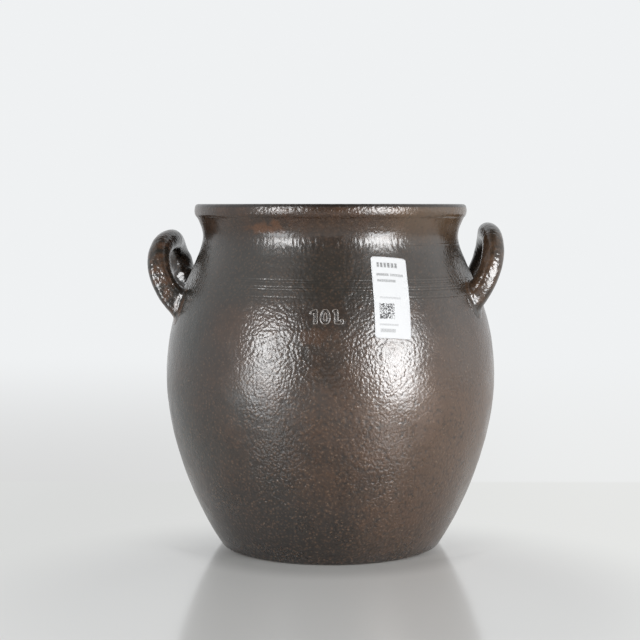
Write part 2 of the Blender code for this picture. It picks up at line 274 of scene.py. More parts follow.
class Net:
    """Wires nodes in a tree with few words."""

    def __init__(self, tree: bpy.types.NodeTree) -> None:
        """Takes hold of a tree.

        Args:
            tree: the node tree to add to.
        """
        self.tree = tree
        self.entry: bpy.types.Node | None = None

    def add(self, kind: str) -> bpy.types.Node:
        """A new node of that kind."""
        return self.tree.nodes.new(kind)

    def join(self, source: object, target: bpy.types.NodeSocket) -> None:
        """Feeds a socket.

        Args:
            source: a socket, a number, or a row of numbers.
            target: the input that takes it.
        """
        if isinstance(source, bpy.types.NodeSocket):
            self.tree.links.new(source, target)
        else:
            target.default_value = source

    def inlet(self, name: str) -> bpy.types.NodeSocket:
        """Reads one of the group's own inputs.

        Args:
            name: the input's name.

        Returns:
            Its socket.
        """
        if self.entry is None:
            self.entry = self.add("NodeGroupInput")
        return self.entry.outputs[name]

    def outlet(self, name: str, source: bpy.types.NodeSocket) -> bpy.types.NodeTree:
        """Feeds the group's own output, which finishes it.

        Args:
            name: the output's name.
            source: what feeds it.

        Returns:
            The group.
        """
        self.join(source, self.add("NodeGroupOutput").inputs[name])
        return self.tree

    def sum(self, operation: str, *values: object) -> bpy.types.NodeSocket:
        """A sum on numbers.

        Args:
            operation: the Math node's operation.
            values: its inputs, sockets or numbers.

        Returns:
            The result's socket.
        """
        node = self.add("ShaderNodeMath")
        node.operation = operation
        for value, socket in zip(values, node.inputs):
            self.join(value, socket)
        return node.outputs[0]

    def times(self, first: object, second: object) -> bpy.types.NodeSocket:
        """The product of two numbers."""
        return self.sum("MULTIPLY", first, second)

    def split(self, place: bpy.types.NodeSocket) -> tuple[bpy.types.NodeSocket, ...]:
        """Takes a vector apart.

        Args:
            place: the vector's socket.

        Returns:
            The sockets of its X, Y and Z.
        """
        node = self.add("ShaderNodeSeparateXYZ")
        self.join(place, node.inputs[0])
        return tuple(node.outputs[axis] for axis in "XYZ")

    def vector(self, operation: str, *values: object) -> bpy.types.NodeSocket:
        """A sum on vectors.

        Args:
            operation: the Vector Math node's operation.
            values: its inputs, sockets or rows of numbers.

        Returns:
            The result's socket.
        """
        node = self.add("ShaderNodeVectorMath")
        node.operation = operation
        for value, socket in zip(values, node.inputs):
            self.join(value, socket)
        return node.outputs["Value" if operation in ("LENGTH", "DOT_PRODUCT") else "Vector"]

    def ramp(self, value: object, low: object, high: object) -> bpy.types.NodeSocket:
        """A soft step from 0 at low to 1 at high.

        Args:
            value: what is read.
            low: where the step starts.
            high: where it ends.

        Returns:
            The step's socket.
        """
        node = self.add("ShaderNodeMapRange")
        node.interpolation_type = "SMOOTHSTEP"
        for source, name in ((value, "Value"), (low, "From Min"), (high, "From Max")):
            self.join(source, node.inputs[name])
        return node.outputs["Result"]

    def mix(self, share: object, first: object, second: object) -> bpy.types.NodeSocket:
        """A mix of two numbers.

        Args:
            share: how much of the second.
            first: what shows at 0.
            second: what shows at 1.

        Returns:
            The mixed number's socket.
        """
        node = self.add("ShaderNodeMix")
        node.data_type = "FLOAT"
        for source, socket in zip((share, first, second), node.inputs[:1] + node.inputs[2:4]):
            self.join(source, socket)
        return node.outputs[0]

    def tint(self, share: object, first: object, second: object) -> bpy.types.NodeSocket:
        """A mix of two colours.

        Args:
            share: how much of the second.
            first: the colour at 0, a socket or three numbers.
            second: the colour at 1, a socket or three numbers.

        Returns:
            The mixed colour's socket.
        """
        node = self.add("ShaderNodeMix")
        node.data_type = "RGBA"
        colours = [c if isinstance(c, bpy.types.NodeSocket) else (*c, 1.0) for c in (first, second)]
        self.join(share, node.inputs[0])
        self.join(colours[0], node.inputs[6])
        self.join(colours[1], node.inputs[7])
        return node.outputs[2]

    def band(self, value: object, rise: Span, fall: Span) -> bpy.types.NodeSocket:
        """A mask that rises over one span and falls again over another.

        Args:
            value: what is read.
            rise: the value where the mask starts, and the one where it is full.
            fall: the value where it ends, and the one below it up to which it is full.

        Returns:
            The mask's socket.
        """
        return self.times(self.ramp(value, *rise), self.ramp(value, *fall))

    def coat(self, colour: object, mask: object, share: object, tone: Tone) -> bpy.types.NodeSocket:
        """A layer of another colour.

        Args:
            colour: what lies under it.
            mask: where the layer lies.
            share: how much of it covers at most.
            tone: its colour.

        Returns:
            The layered colour's socket.
        """
        return self.tint(self.times(mask, share), colour, tone)

    def shown(
        self, share: object, first: bpy.types.NodeSocket, second: bpy.types.NodeSocket
    ) -> bpy.types.NodeSocket:
        """A mix of two shaders.

        Args:
            share: how much of the second.
            first: the shader at 0.
            second: the shader at 1.

        Returns:
            The mixed shader's socket.
        """
        node = self.add("ShaderNodeMixShader")
        for source, socket in zip((share, first, second), node.inputs):
            self.join(source, socket)
        return node.outputs[0]

    def group(
        self, tree: bpy.types.NodeTree, output: str, **values: object
    ) -> bpy.types.NodeSocket:
        """Places a node group with its own values.

        Args:
            tree: the group.
            output: the output that is wanted.
            values: its inputs by name, sockets, numbers or rows of numbers.

        Returns:
            The output's socket.
        """
        node = self.add("ShaderNodeGroup")
        node.node_tree = tree
        for name, value in values.items():
            self.join(value, node.inputs[name])
        return node.outputs[output]

    def layer(self, name: str) -> bpy.types.NodeSocket:
        """Reads a number that the mesh carries at each point.

        Args:
            name: the attribute's name.

        Returns:
            Its socket.
        """
        node = self.add("ShaderNodeAttribute")
        node.attribute_name = name
        return node.outputs["Fac"]

    def bump(self, height: object, strength: float, distance: float) -> bpy.types.NodeSocket:
        """A surface normal from a height.

        Args:
            height: the height's socket.
            strength: how much of it shows.
            distance: how high a height of 1 stands, in metres.

        Returns:
            The normal's socket.
        """
        node = self.add("ShaderNodeBump")
        node.inputs["Strength"].default_value = strength
        node.inputs["Distance"].default_value = distance
        self.join(height, node.inputs["Height"])
        return node.outputs["Normal"]


class Shelf:
    """The shader node groups that more than one material uses, each built once."""

    @staticmethod
    def start(name: str, inputs: dict[str, object], output: str) -> Net:
        """Starts a group with its sockets.

        Args:
            name: the group's name.
            inputs: each input's name with its default. One that isn't a number is a vector.
            output: the name of its one output.

        Returns:
            The group's wiring.
        """
        group = bpy.data.node_groups.new(name, "ShaderNodeTree")
        for label, default in inputs.items():
            kind = "NodeSocketFloat" if isinstance(default, float) else "NodeSocketVector"
            socket = group.interface.new_socket(label, in_out="INPUT", socket_type=kind)
            if default is not None:
                socket.default_value = default
        group.interface.new_socket(output, in_out="OUTPUT", socket_type="NodeSocketFloat")
        return Net(group)

    @cache
    def ripple(self) -> bpy.types.NodeTree:
        """The orange-peel skin of salt glaze: soft domes, mixed with beads that have run together.

        Returns:
            The group, which gives a height from 0 to 1.
        """
        net = self.start("orange_peel", {"Place": None, "Size": 2.4, "Wrinkle": 0.5}, "Height")
        place = net.inlet("Place")
        scale = net.sum("DIVIDE", METRE_MM, net.inlet("Size"))
        beads = net.add("ShaderNodeTexNoise")
        beads.inputs["Detail"].default_value = 1.5
        beads.inputs["Roughness"].default_value = 0.45
        beads.inputs["Distortion"].default_value = 0.35
        net.join(place, beads.inputs["Vector"])
        net.join(scale, beads.inputs["Scale"])
        cells = net.add("ShaderNodeTexVoronoi")
        cells.feature = "SMOOTH_F1"
        cells.inputs["Smoothness"].default_value = 0.6
        net.join(place, cells.inputs["Vector"])
        net.join(net.times(scale, 0.8), cells.inputs["Scale"])
        domes = net.sum("SUBTRACT", 1.0, cells.outputs["Distance"])
        return net.outlet("Height", net.mix(net.inlet("Wrinkle"), domes, beads.outputs["Fac"]))

    @cache
    def mottle(self) -> bpy.types.NodeTree:
        """Soft cloudy patches: noise with a soft threshold.

        Returns:
            The group, which gives a mask from 0 to 1.
        """
        inputs = {"Place": None, "Size": 30.0, "From": 0.4, "To": 0.6, "Detail": 3.0, "Seed": 0.0}
        net = self.start("glaze_clouds", inputs, "Mask")
        noise = net.add("ShaderNodeTexNoise")
        noise.noise_dimensions = "4D"
        noise.inputs["Roughness"].default_value = 0.55
        net.join(net.inlet("Place"), noise.inputs["Vector"])
        net.join(net.sum("DIVIDE", METRE_MM, net.inlet("Size")), noise.inputs["Scale"])
        net.join(net.inlet("Detail"), noise.inputs["Detail"])
        net.join(net.inlet("Seed"), noise.inputs["W"])
        return net.outlet(
            "Mask", net.ramp(noise.outputs["Fac"], net.inlet("From"), net.inlet("To"))
        )

    @cache
    def freckle(self) -> bpy.types.NodeTree:
        """Scattered specks of burnt-out iron and salt: a soft dot in a share of the cells.

        Returns:
            The group, which gives a mask from 0 to 1.
        """
        inputs = {"Place": None, "Spacing": 5.0, "Radius": 0.16, "Share": 0.4, "Seed": 0.0}
        net = self.start("glaze_freckles", inputs, "Mask")
        cells = net.add("ShaderNodeTexVoronoi")
        shift = net.times(net.inlet("Seed"), 0.37)
        net.join(net.vector("ADD", net.inlet("Place"), shift), cells.inputs["Vector"])
        net.join(net.sum("DIVIDE", METRE_MM, net.inlet("Spacing")), cells.inputs["Scale"])
        radius = net.inlet("Radius")
        spot = net.ramp(cells.outputs["Distance"], radius, net.times(radius, 0.35))
        draw = net.add("ShaderNodeSeparateColor")
        net.join(cells.outputs["Color"], draw.inputs["Color"])
        chosen = net.sum("LESS_THAN", draw.outputs["Red"], net.inlet("Share"))
        return net.outlet("Mask", net.times(spot, chosen))

    @cache
    def patch(self) -> bpy.types.NodeTree:
        """One patch round a point: an ellipsoid with a soft and ragged edge.

        Returns:
            The group, which gives a mask from 0 to 1.
        """
        inputs = {"Place": None, "Centre": None, "Reach": (0.02, 0.02, 0.02), "Fray": 0.5}
        net = self.start("glaze_patch", inputs, "Mask")
        place = net.inlet("Place")
        away = net.vector("SUBTRACT", place, net.inlet("Centre"))
        distance = net.vector("LENGTH", net.vector("DIVIDE", away, net.inlet("Reach")))
        noise = net.add("ShaderNodeTexNoise")
        noise.inputs["Scale"].default_value = 140.0
        noise.inputs["Detail"].default_value = 3.0
        net.join(place, noise.inputs["Vector"])
        fray = net.times(net.sum("SUBTRACT", noise.outputs["Fac"], 0.5), net.inlet("Fray"))
        ragged = net.sum("ADD", distance, net.times(fray, 3.0))
        return net.outlet("Mask", net.ramp(ragged, 1.0, 0.35))

    @cache
    def bar(self) -> bpy.types.NodeTree:
        """One printed block on a label: a rectangle with a soft edge.

        Returns:
            The group, which gives a mask from 0 to 1.
        """
        inputs = {"Place": None, "Middle": None, "Half": (0.1, 0.1, 0.0), "Blur": 0.01}
        net = self.start("printed_block", inputs, "Mask")
        away = net.vector("SUBTRACT", net.inlet("Place"), net.inlet("Middle"))
        away = net.vector("SUBTRACT", net.vector("ABSOLUTE", away), net.inlet("Half"))
        x, y, _ = net.split(away)
        blur = net.inlet("Blur")
        return net.outlet("Mask", net.ramp(net.sum("MAXIMUM", x, y), blur, net.times(blur, -1.0)))


def new_material(name: str) -> tuple[bpy.types.Material, Net, bpy.types.Node]:
    """A material with its Principled shader.

    Args:
        name: the material's name.

    Returns:
        The material, its wiring and its shader.
    """
    made = bpy.data.materials.new(name)
    made.use_nodes = True
    return made, Net(made.node_tree), made.node_tree.nodes["Principled BSDF"]


class Skin:
    """The places that the layers of one glaze read, and the clouds that they are made of."""

    def __init__(self, net: Net, shelf: Shelf) -> None:
        """Reads the place on the crock.

        Args:
            net: the material's wiring.
            shelf: where the shared node groups are.
        """
        self.net = net
        self.shelf = shelf
        self.place = net.add("ShaderNodeTexCoord").outputs["Object"]
        self.x, self.y, self.height = net.split(self.place)

    def clouds(
        self, size: float, low: float, high: float, detail: float, seed: float = 0.0
    ) -> bpy.types.NodeSocket:
        """Cloudy patches.

        Args:
            size: the size of a cloud, in millimetres.
            low: the noise at which a cloud starts.
            high: the noise from which it is full.
            detail: how ragged it is.
            seed: which clouds they are.

        Returns:
            The mask's socket.
        """
        values = {"Size": size, "From": low, "To": high, "Detail": detail, "Seed": seed}
        return self.net.group(self.shelf.mottle(), "Mask", Place=self.place, **values)

    def patch(self, centre: Spot, reach: Spot, fray: float) -> bpy.types.NodeSocket:
        """One patch with a soft edge.

        Args:
            centre: its middle.
            reach: how far it goes along each axis.
            fray: how ragged its edge is.

        Returns:
            The mask's socket.
        """
        values = {"Centre": centre, "Reach": reach, "Fray": fray}
        return self.net.group(self.shelf.patch(), "Mask", Place=self.place, **values)


@dataclass(frozen=True)
class Freckles:
    """One size of freckles: how far apart, how large, how many and how strong they are."""

    spacing_mm: float
    radius_share: float
    chosen_share: float
    strength: float
    seed: float


@dataclass(frozen=True)
class Stain:
    """One rusty stain on the body."""

    centre: Spot
    reach: Spot
    strength: float


@dataclass(frozen=True)
class SaltGlaze:
    """Brown salt glaze over stoneware: clouds, freckles, scorched patches and orange peel, with
    painted light and shade in its colour.

    A side is a span of X or Y and a zone is a span of heights, over which a mask rises.
    """

    name: str
    deep: Tone = (0.0265, 0.0160, 0.0103)
    warm: Tone = (0.049, 0.0262, 0.0148)
    cool: Tone = (0.0205, 0.0196, 0.0162)
    # Paler tan: painted light on the peel's tops and on the crock's right side.
    tan: Tone = (0.108, 0.060, 0.034)
    rust: Tone = (0.125, 0.052, 0.020)
    gold: Tone = (0.150, 0.100, 0.056)
    # Pale specks of the glaze. The same tone also paints the glints on the peel's crests.
    speck_and_glint: Tone = (0.26, 0.185, 0.125)
    # Dark brown of the scorched clouds in the glaze. The same tone is painted shade in the peel's
    # pits, the stamped strokes, the foot, the lower left, the left of the neck and the far half of
    # each ear. It also gives a darker band along the rim's top edge.
    scorch_and_shade: Tone = (0.010, 0.0075, 0.006)
    # Pale painted glint on the burr that the stamp raised beside its strokes.
    painted_burr_glint: Tone = (0.60, 0.54, 0.49)
    raw: Tone = (0.30, 0.20, 0.13)
    raw_roughness: float = 0.9
    roughness: float = 0.23
    glass: float = 1.56
    veil: float = 0.22
    veil_roughness: float = 0.44
    collar_veil_share: float = 0.25
    peel_size: float = 1.95
    peel_height: float = 0.00060
    calm_share: float = 0.44
    flank_share: float = 0.60
    left_share: float = 0.42
    low_share: float = 0.75
    foot_share: float = 1.15
    mark_share: float = 0.30
    neck_share: float = 0.75
    luted_share: float = 1.6
    drawn_size: float = 2.1
    drawn_stretch: Spot = (1.0, 1.0, 0.45)
    ear_freckles_share: float = 1.6
    # Where the cool grey grows stronger, towards the left: a painted reflection.
    grey_reflection_side: Span = (0.03, -0.09)
    # Rises towards the right side, which gets painted light.
    lit_right_side: Span = (0.0, 0.09)
    # Rises towards the left side, which gets more painted shade low down.
    left_shade_side: Span = (0.05, -0.05)
    gold_side: Span = (0.030, 0.075)
    flank_side: Span = (0.046, 0.078)
    left_flank_side: Span = (-0.044, -0.070)
    # Rises towards each ear's far half, which gets painted shade.
    ear_shade_side: Span = (-0.016, 0.006)
    bare_zone: Span = (0.00030, 0.00012)
    # The foot's lowest edge, which gets painted shade.
    foot_shade_zone: Span = (0.014, 0.003)
    # Darker towards the bottom: painted shade.
    low_shade_zone: Span = (0.100, 0.012)
    foot_zone: Span = (0.112, 0.085)
    low_zone: Span = (0.152, 0.124)
    tan_zone: Span = (0.200, 0.120)
    freckle_zone: Span = (0.205, 0.150)
    shoulder_zone: Span = (0.192, 0.214)
    calm_zone: Span = (0.198, 0.216)
    calm_end: Span = (0.270, 0.264)
    calm_lift: float = 0.011
    calm_lift_side: Span = (0.012, 0.024)
    luted_zone: Span = (0.200, 0.210)
    luted_end: Span = (0.258, 0.244)
    luted_side: Span = (0.084, 0.100)
    neck_zone: Span = (0.238, 0.246)
    neck_end: Span = (0.258, 0.252)
    neck_side: Span = (0.075, 0.060)
    # The neck under the rim, which gets painted shade on its left.
    neck_shade_zone: Span = (0.238, 0.252)
    veil_zone: Span = (0.240, 0.262)
    collar_zone: Span = (0.243, 0.270)
    lip_zone: Span = (0.2762, 0.2776)
    mark_centre: Spot = (0.004, -0.121, 0.1962)
    mark_reach: Spot = (0.021, 0.03, 0.012)
    freckles: tuple[Freckles, ...] = (
        Freckles(spacing_mm=2.6, radius_share=0.24, chosen_share=0.34, strength=0.30, seed=1.0),
        Freckles(spacing_mm=5.5, radius_share=0.15, chosen_share=0.50, strength=0.48, seed=5.0),
    )
    stains: tuple[Stain, ...] = (
        Stain(centre=(-0.041, -0.098, 0.2612), reach=(0.019, 0.03, 0.0066), strength=0.80),
        Stain(centre=(-0.002, -0.130, 0.182), reach=(0.020, 0.03, 0.008), strength=0.22),
        Stain(centre=(0.028, -0.130, 0.120), reach=(0.050, 0.04, 0.060), strength=0.14),
        Stain(centre=(0.062, -0.105, 0.040), reach=(0.040, 0.04, 0.030), strength=0.16),
    )

    def made(self, shelf: Shelf, ear: bool) -> bpy.types.Material:
        """Builds the glaze.

        Args:
            shelf: where the shared node groups are.
            ear: whether it is for a hand-rolled ear, which has more rust and no patches.

        Returns:
            The material.
        """
        made, net, shader = new_material(self.name)
        skin = Skin(net, shelf)
        low = net.ramp(skin.height, *self.low_zone)
        bare = net.ramp(skin.height, *self.bare_zone)
        peel = net.group(
            shelf.ripple(), "Height", Place=skin.place, Size=self.peel_size, Wrinkle=0.5
        )
        colour = self.ground(skin, ear)
        colour = self.peeled(skin, colour, peel, low, self.ear_freckles_share if ear else 1.0)
        if not ear:
            # Painted shade in the stamped strokes and painted glints on the burr beside them, then
            # a darker band along the rim's top edge.
            colour = net.coat(colour, net.layer("pressed"), 0.5, self.scorch_and_shade)
            colour = net.coat(colour, net.layer("raised"), 0.95, self.painted_burr_glint)
            colour = net.coat(colour, net.ramp(skin.height, *self.lip_zone), 0.85, self.scorch_and_shade)
        net.join(net.tint(bare, colour, self.raw), shader.inputs["Base Color"])
        streaks = skin.clouds(size=22.0, low=0.3, high=0.7, detail=3.0, seed=17.0)
        rough = net.mix(streaks, self.roughness * 0.85, self.roughness * 1.25)
        rough = net.times(rough, net.mix(low, 1.0, 1.25))
        net.join(net.mix(bare, rough, self.raw_roughness), shader.inputs["Roughness"])
        shader.inputs["IOR"].default_value = self.glass
        shader.inputs["Coat Weight"].default_value = self.veil
        shader.inputs["Coat Roughness"].default_value = self.veil_roughness
        if not ear:
            collar = net.ramp(skin.height, *self.veil_zone)
            veil = net.mix(collar, self.veil, self.veil * self.collar_veil_share)
            net.join(veil, shader.inputs["Coat Weight"])
            peel = self.body_peel(skin, peel, low)
        net.join(net.bump(peel, 1.0, self.peel_height), shader.inputs["Normal"])
        return made

    def ground(self, skin: Skin, ear: bool) -> bpy.types.NodeSocket:
        """The clouds of the glaze under its peel and its freckles.

        Args:
            skin: the places on the crock.
            ear: whether it is for an ear.

        Returns:
            The colour's socket.
        """
        net = skin.net
        clouds = skin.clouds(size=34.0, low=0.36, high=0.66, detail=4.0)
        colour = net.tint(clouds, self.deep, self.warm)
        # Cool grey clouds. Their spread is the glaze's own, but their extra strength towards the
        # left is a painted reflection. On the body they also give a greyer band over the shoulder.
        haze = skin.clouds(size=70.0, low=0.35, high=0.65, detail=2.0, seed=3.0)
        cool = net.times(haze, net.mix(net.ramp(skin.x, *self.grey_reflection_side), 0.30, 1.0))
        if not ear:
            shoulder = net.times(net.ramp(skin.height, *self.shoulder_zone), 0.70)
            cool = net.sum("MAXIMUM", cool, shoulder)
        colour = net.tint(cool, colour, self.cool)
        scorched = skin.clouds(size=9.0, low=0.56, high=0.72, detail=5.0, seed=7.0)
        colour = net.coat(colour, scorched, 0.35, self.scorch_and_shade)
        rusty = skin.clouds(size=8.0 if ear else 16.0, low=0.42, high=0.72, detail=5.0, seed=11.0)
        if not ear:
            return self.body_patches(skin, colour, rusty)
        colour = net.coat(colour, rusty, 0.60, self.rust)
        # The far half of each ear is darker: painted shade inside the loop.
        return net.coat(colour, net.ramp(skin.y, *self.ear_shade_side), 0.70, self.scorch_and_shade)

    def peeled(
        self,
        skin: Skin,
        colour: bpy.types.NodeSocket,
        peel: bpy.types.NodeSocket,
        low: bpy.types.NodeSocket,
        freckled: float,
    ) -> bpy.types.NodeSocket:
        """The peel's tops painted paler and its pits painted darker, as painted light and shade of
        its domes and hollows, painted glints on its crests, and the freckles.

        Args:
            skin: the places on the crock.
            colour: the glaze so far.
            peel: the peel's height.
            low: the mask of the crock's lower half.
            freckled: how much stronger the freckles are than on the body.

        Returns:
            The colour's socket.
        """
        net = skin.net
        # Painted light and shade on the peel: paler tops, darker pits and pale glints on the
        # highest crests.
        lit_tops, shaded_pits, painted_glints = (
            net.ramp(peel, *span) for span in ((0.50, 0.78), (0.50, 0.24), (0.66, 0.80))
        )
        colour = net.coat(colour, lit_tops, net.mix(low, 0.38, 0.66), self.tan)
        colour = net.coat(colour, shaded_pits, net.mix(low, 0.30, 0.75), self.scorch_and_shade)
        colour = net.coat(colour, painted_glints, net.mix(low, 0.04, 0.22), self.speck_and_glint)
        below = net.ramp(skin.height, *self.freckle_zone)
        for row in self.freckles:
            specks = net.group(
                skin.shelf.freckle(),
                "Mask",
                Place=skin.place,
                Spacing=row.spacing_mm,
                Radius=row.radius_share,
                Share=row.chosen_share,
                Seed=row.seed,
            )
            strength = net.mix(below, 0.12, row.strength * freckled)
            colour = net.coat(colour, specks, strength, self.speck_and_glint)
        return colour

    def body_patches(
        self, skin: Skin, colour: bpy.types.NodeSocket, rusty: bpy.types.NodeSocket
    ) -> bpy.types.NodeSocket:
        """The rust of the rim and the neck, the gold on the collar's right and the rusty patches of
        the belly, with painted light on the right side and painted shade low down, on the lower
        left, at the foot and on the left of the neck.

        Args:
            skin: the places on the crock.
            colour: the glaze so far.
            rusty: where rust breaks through.

        Returns:
            The colour's socket.
        """
        net = skin.net
        lit_rightward = net.ramp(skin.x, *self.lit_right_side)
        left_shade = net.ramp(skin.x, *self.left_shade_side)
        lower = net.ramp(skin.height, *self.tan_zone)
        # Paler tan on the right side, stronger low down: painted light.
        colour = net.coat(colour, lit_rightward, net.mix(lower, 0.06, 0.66), self.tan)
        # Darker towards the bottom, much more so on the left, and at the foot's lowest edge:
        # painted shade.
        low_shade = net.ramp(skin.height, *self.low_shade_zone)
        colour = net.coat(colour, low_shade, net.mix(left_shade, 0.38, 0.85), self.scorch_and_shade)
        colour = net.coat(colour, net.ramp(skin.height, *self.foot_shade_zone), 0.50, self.scorch_and_shade)
        collar = net.ramp(skin.height, *self.collar_zone)
        colour = net.coat(colour, collar, net.mix(rusty, 0.28, 0.58), self.rust)
        # Darker on the left of the neck under the rim: painted shade.
        neck_shade = net.ramp(skin.height, *self.neck_shade_zone)
        colour = net.coat(colour, neck_shade, net.mix(lit_rightward, 0.34, 0.0), self.scorch_and_shade)
        golden = net.times(collar, net.ramp(skin.x, *self.gold_side))
        colour = net.coat(colour, golden, 0.42, self.gold)
        for stain in self.stains:
            mask = skin.patch(stain.centre, stain.reach, fray=0.8)
            colour = net.coat(colour, mask, stain.strength, self.rust)
        return colour

    def body_peel(
        self, skin: Skin, peel: bpy.types.NodeSocket, low: bpy.types.NodeSocket
    ) -> bpy.types.NodeSocket:
        """The body's peel: calm on the shoulder, drawn out at the neck and round the ears.

        Args:
            skin: the places on the crock.
            peel: the height of an even peel.
            low: the mask of the crock's lower half.

        Returns:
            The height's socket.
        """
        net = skin.net
        lift = net.times(net.ramp(skin.x, *self.calm_lift_side), self.calm_lift)
        calm = net.ramp(net.sum("SUBTRACT", skin.height, lift), *self.calm_zone)
        calm = net.times(calm, net.ramp(skin.height, *self.calm_end))
        foot = net.mix(net.ramp(skin.height, *self.foot_zone), self.low_share, self.foot_share)
        for mask, share in (
            (calm, self.calm_share),
            (net.ramp(skin.x, *self.flank_side), self.flank_share),
            (net.ramp(skin.x, *self.left_flank_side), self.left_share),
            (low, foot),
        ):
            peel = net.times(peel, net.mix(mask, 1.0, share))
        aside = net.sum("ABSOLUTE", skin.x)
        neck = net.band(skin.height, self.neck_zone, self.neck_end)
        neck = net.times(neck, net.ramp(aside, *self.neck_side))
        luted = net.band(skin.height, self.luted_zone, self.luted_end)
        luted = net.times(luted, net.ramp(aside, *self.luted_side))
        drawn = net.group(
            skin.shelf.ripple(),
            "Height",
            Place=net.vector("MULTIPLY", skin.place, self.drawn_stretch),
            Size=self.drawn_size,
            Wrinkle=0.6,
        )
        drawn = net.times(drawn, net.mix(luted, self.neck_share, self.luted_share))
        peel = net.mix(net.sum("MAXIMUM", neck, luted), peel, drawn)
        stamped = skin.patch(self.mark_centre, self.mark_reach, fray=0.15)
        return net.times(peel, net.mix(stamped, 1.0, self.mark_share))


@dataclass(frozen=True)
class WallForm:
    """The outline of the thrown crock, with the same sizes as its CAD solid."""

    height: float = 0.2795
    belly_radius: float = 0.1348
    belly_height: float = 0.139
    foot_radius: float = 0.0893
    foot_rounding: float = 0.006
    neck_radius: float = 0.1046
    neck_below_top: float = 0.0255
    rim_stand_out: float = 0.0066
    rim_top_stand_out: float = 0.0056
    rim_crease_stand_out: float = 0.0046
    rim_band_height: float = 0.011
    rim_thickness: float = 0.0117
    rim_edge_rounding: float = 0.0032
    mouth_edge_rounding: float = 0.003
    wall: float = 0.009
    floor: float = 0.011
    floor_corner: float = 0.022
    throat_shares: tuple[float, float, float] = (0.50, 0.68, 0.30)
    neck_share: float = 0.175
    shoulder_share: float = 0.565
    belly_share: float = 0.374
    ankle_shares: Span = (0.433, 0.196)
    band_shares: tuple[float, float, float] = (1.40, 0.64, 0.20)
    slope_step: float = 0.0005
    fine_steps: int = 240
    rim_steps: int = 40

    def outer_wall(self) -> np.ndarray:
        """The outer wall, from the crease under the rim down to the table.

        Returns:
            Its points, as radius and height.
        """
        neck = self.height - self.neck_below_top
        flare = self.neck_below_top - self.rim_band_height
        rise = neck - self.belly_height
        crease = self.neck_radius + self.rim_crease_stand_out
        out, up, down = self.throat_shares
        throat = Solver.bezier(
            (crease, neck + flare),
            (self.neck_radius + self.rim_crease_stand_out * out, neck + flare * up),
            (self.neck_radius, neck + flare * down),
            (self.neck_radius, neck),
            self.rim_steps,
        )
        shoulder = Solver.bezier(
            (self.neck_radius, neck),
            (self.neck_radius, neck - rise * self.neck_share),
            (self.belly_radius, self.belly_height + rise * self.shoulder_share),
            (self.belly_radius, self.belly_height),
            self.fine_steps,
        )
        out, up = self.ankle_shares
        lower = Solver.bezier(
            (self.belly_radius, self.belly_height),
            (self.belly_radius, self.belly_height * (1 - self.belly_share)),
            (
                self.foot_radius + (self.belly_radius - self.foot_radius) * out,
                self.belly_height * up,
            ),
            (self.foot_radius, 0),
            self.fine_steps,
        )
        return np.concatenate([throat, shoulder[1:], lower[1:]])

    def radius(self, heights: np.ndarray) -> np.ndarray:
        """The outer wall's radius at each height."""
        table = self.outer_wall()[::-1]
        return np.interp(heights, table[:, 1], table[:, 0])

    def slope(self, heights: np.ndarray) -> np.ndarray:
        """The angle by which the wall's outward normal points up from level.

        Args:
            heights: where to read it.

        Returns:
            The angle at each height.
        """
        step = self.slope_step
        fall = self.radius(heights - step) - self.radius(heights + step)
        return np.arctan2(fall, 2 * step)

    @staticmethod
    def arc(before: np.ndarray, corner: np.ndarray, after: np.ndarray, radius: float) -> np.ndarray:
        """An arc in place of a corner.

        Args:
            before: the outline's point before the corner.
            corner: the corner.
            after: the outline's point after it.
            radius: the arc's radius.

        Returns:
            The arc's points.
        """
        one = (before - corner) / np.linalg.norm(before - corner)
        two = (after - corner) / np.linalg.norm(after - corner)
        half = math.acos(float(np.clip(one @ two, -1, 1))) / 2
        setback = radius / math.tan(half)
        middle = (one + two) / np.linalg.norm(one + two)
        centre = corner + middle * radius / math.sin(half)
        first, last = corner + one * setback - centre, corner + two * setback - centre
        turn = math.atan2(first[0] * last[1] - first[1] * last[0], float(first @ last))
        points = []
        for share in np.linspace(0, 1, 13):
            c, s = math.cos(turn * share), math.sin(turn * share)
            points.append(centre + [c * first[0] - s * first[1], s * first[0] + c * first[1]])
        return np.array(points)

    def rim(self) -> np.ndarray:
        """The rolled rim, from the mouth over the flat top and down the band to the crease.

        Returns:
            Its points, as radius and height.
        """
        top = self.neck_radius + self.rim_top_stand_out
        crease = self.neck_radius + self.rim_crease_stand_out
        low = self.height - self.rim_band_height
        out, high, deep = self.band_shares
        bulge = crease + (self.rim_stand_out - self.rim_crease_stand_out) * out
        band = Solver.bezier(
            (top, self.height),
            (bulge, low + self.rim_band_height * high),
            (bulge, low + self.rim_band_height * deep),
            (crease, low),
            self.rim_steps,
        )
        throat = np.array([self.neck_radius - self.wall, self.height - self.neck_below_top])
        mouth = np.array([top - self.rim_thickness, self.height])
        edge = self.arc(mouth, band[0], band[10], self.rim_edge_rounding)
        inner = self.arc(throat, mouth, band[0], self.mouth_edge_rounding)
        below = band[band[:, 1] < edge[-1, 1] - 0.0002]
        return np.concatenate([inner, edge, below])

    def inside(self) -> np.ndarray:
        """The inside, from the middle of the floor up to the neck.

        Returns:
            Its points, as radius and height.
        """
        outer = self.outer_wall()
        outer = outer[outer[:, 1] < self.height - self.neck_below_top]
        along = np.gradient(outer, axis=0)
        along /= np.linalg.norm(along, axis=1)[:, None]
        inner = (outer + np.stack([along[:, 1], -along[:, 0]], 1) * self.wall)[::-1]
        inner = inner[inner[:, 1] > self.floor + self.floor_corner]
        down = inner[0] - inner[1]
        down /= np.linalg.norm(down)
        reach = (self.floor - inner[0, 1]) / down[1]
        corner = inner[0] + down * reach
        flat_end = np.array([corner[0] - reach, self.floor])
        t = np.linspace(0, 1, 30)[:-1, None]
        curve = flat_end * (1 - t) ** 2 + corner * 2 * t * (1 - t) + inner[0] * t * t
        return np.concatenate([[[0, self.floor]], curve, inner])

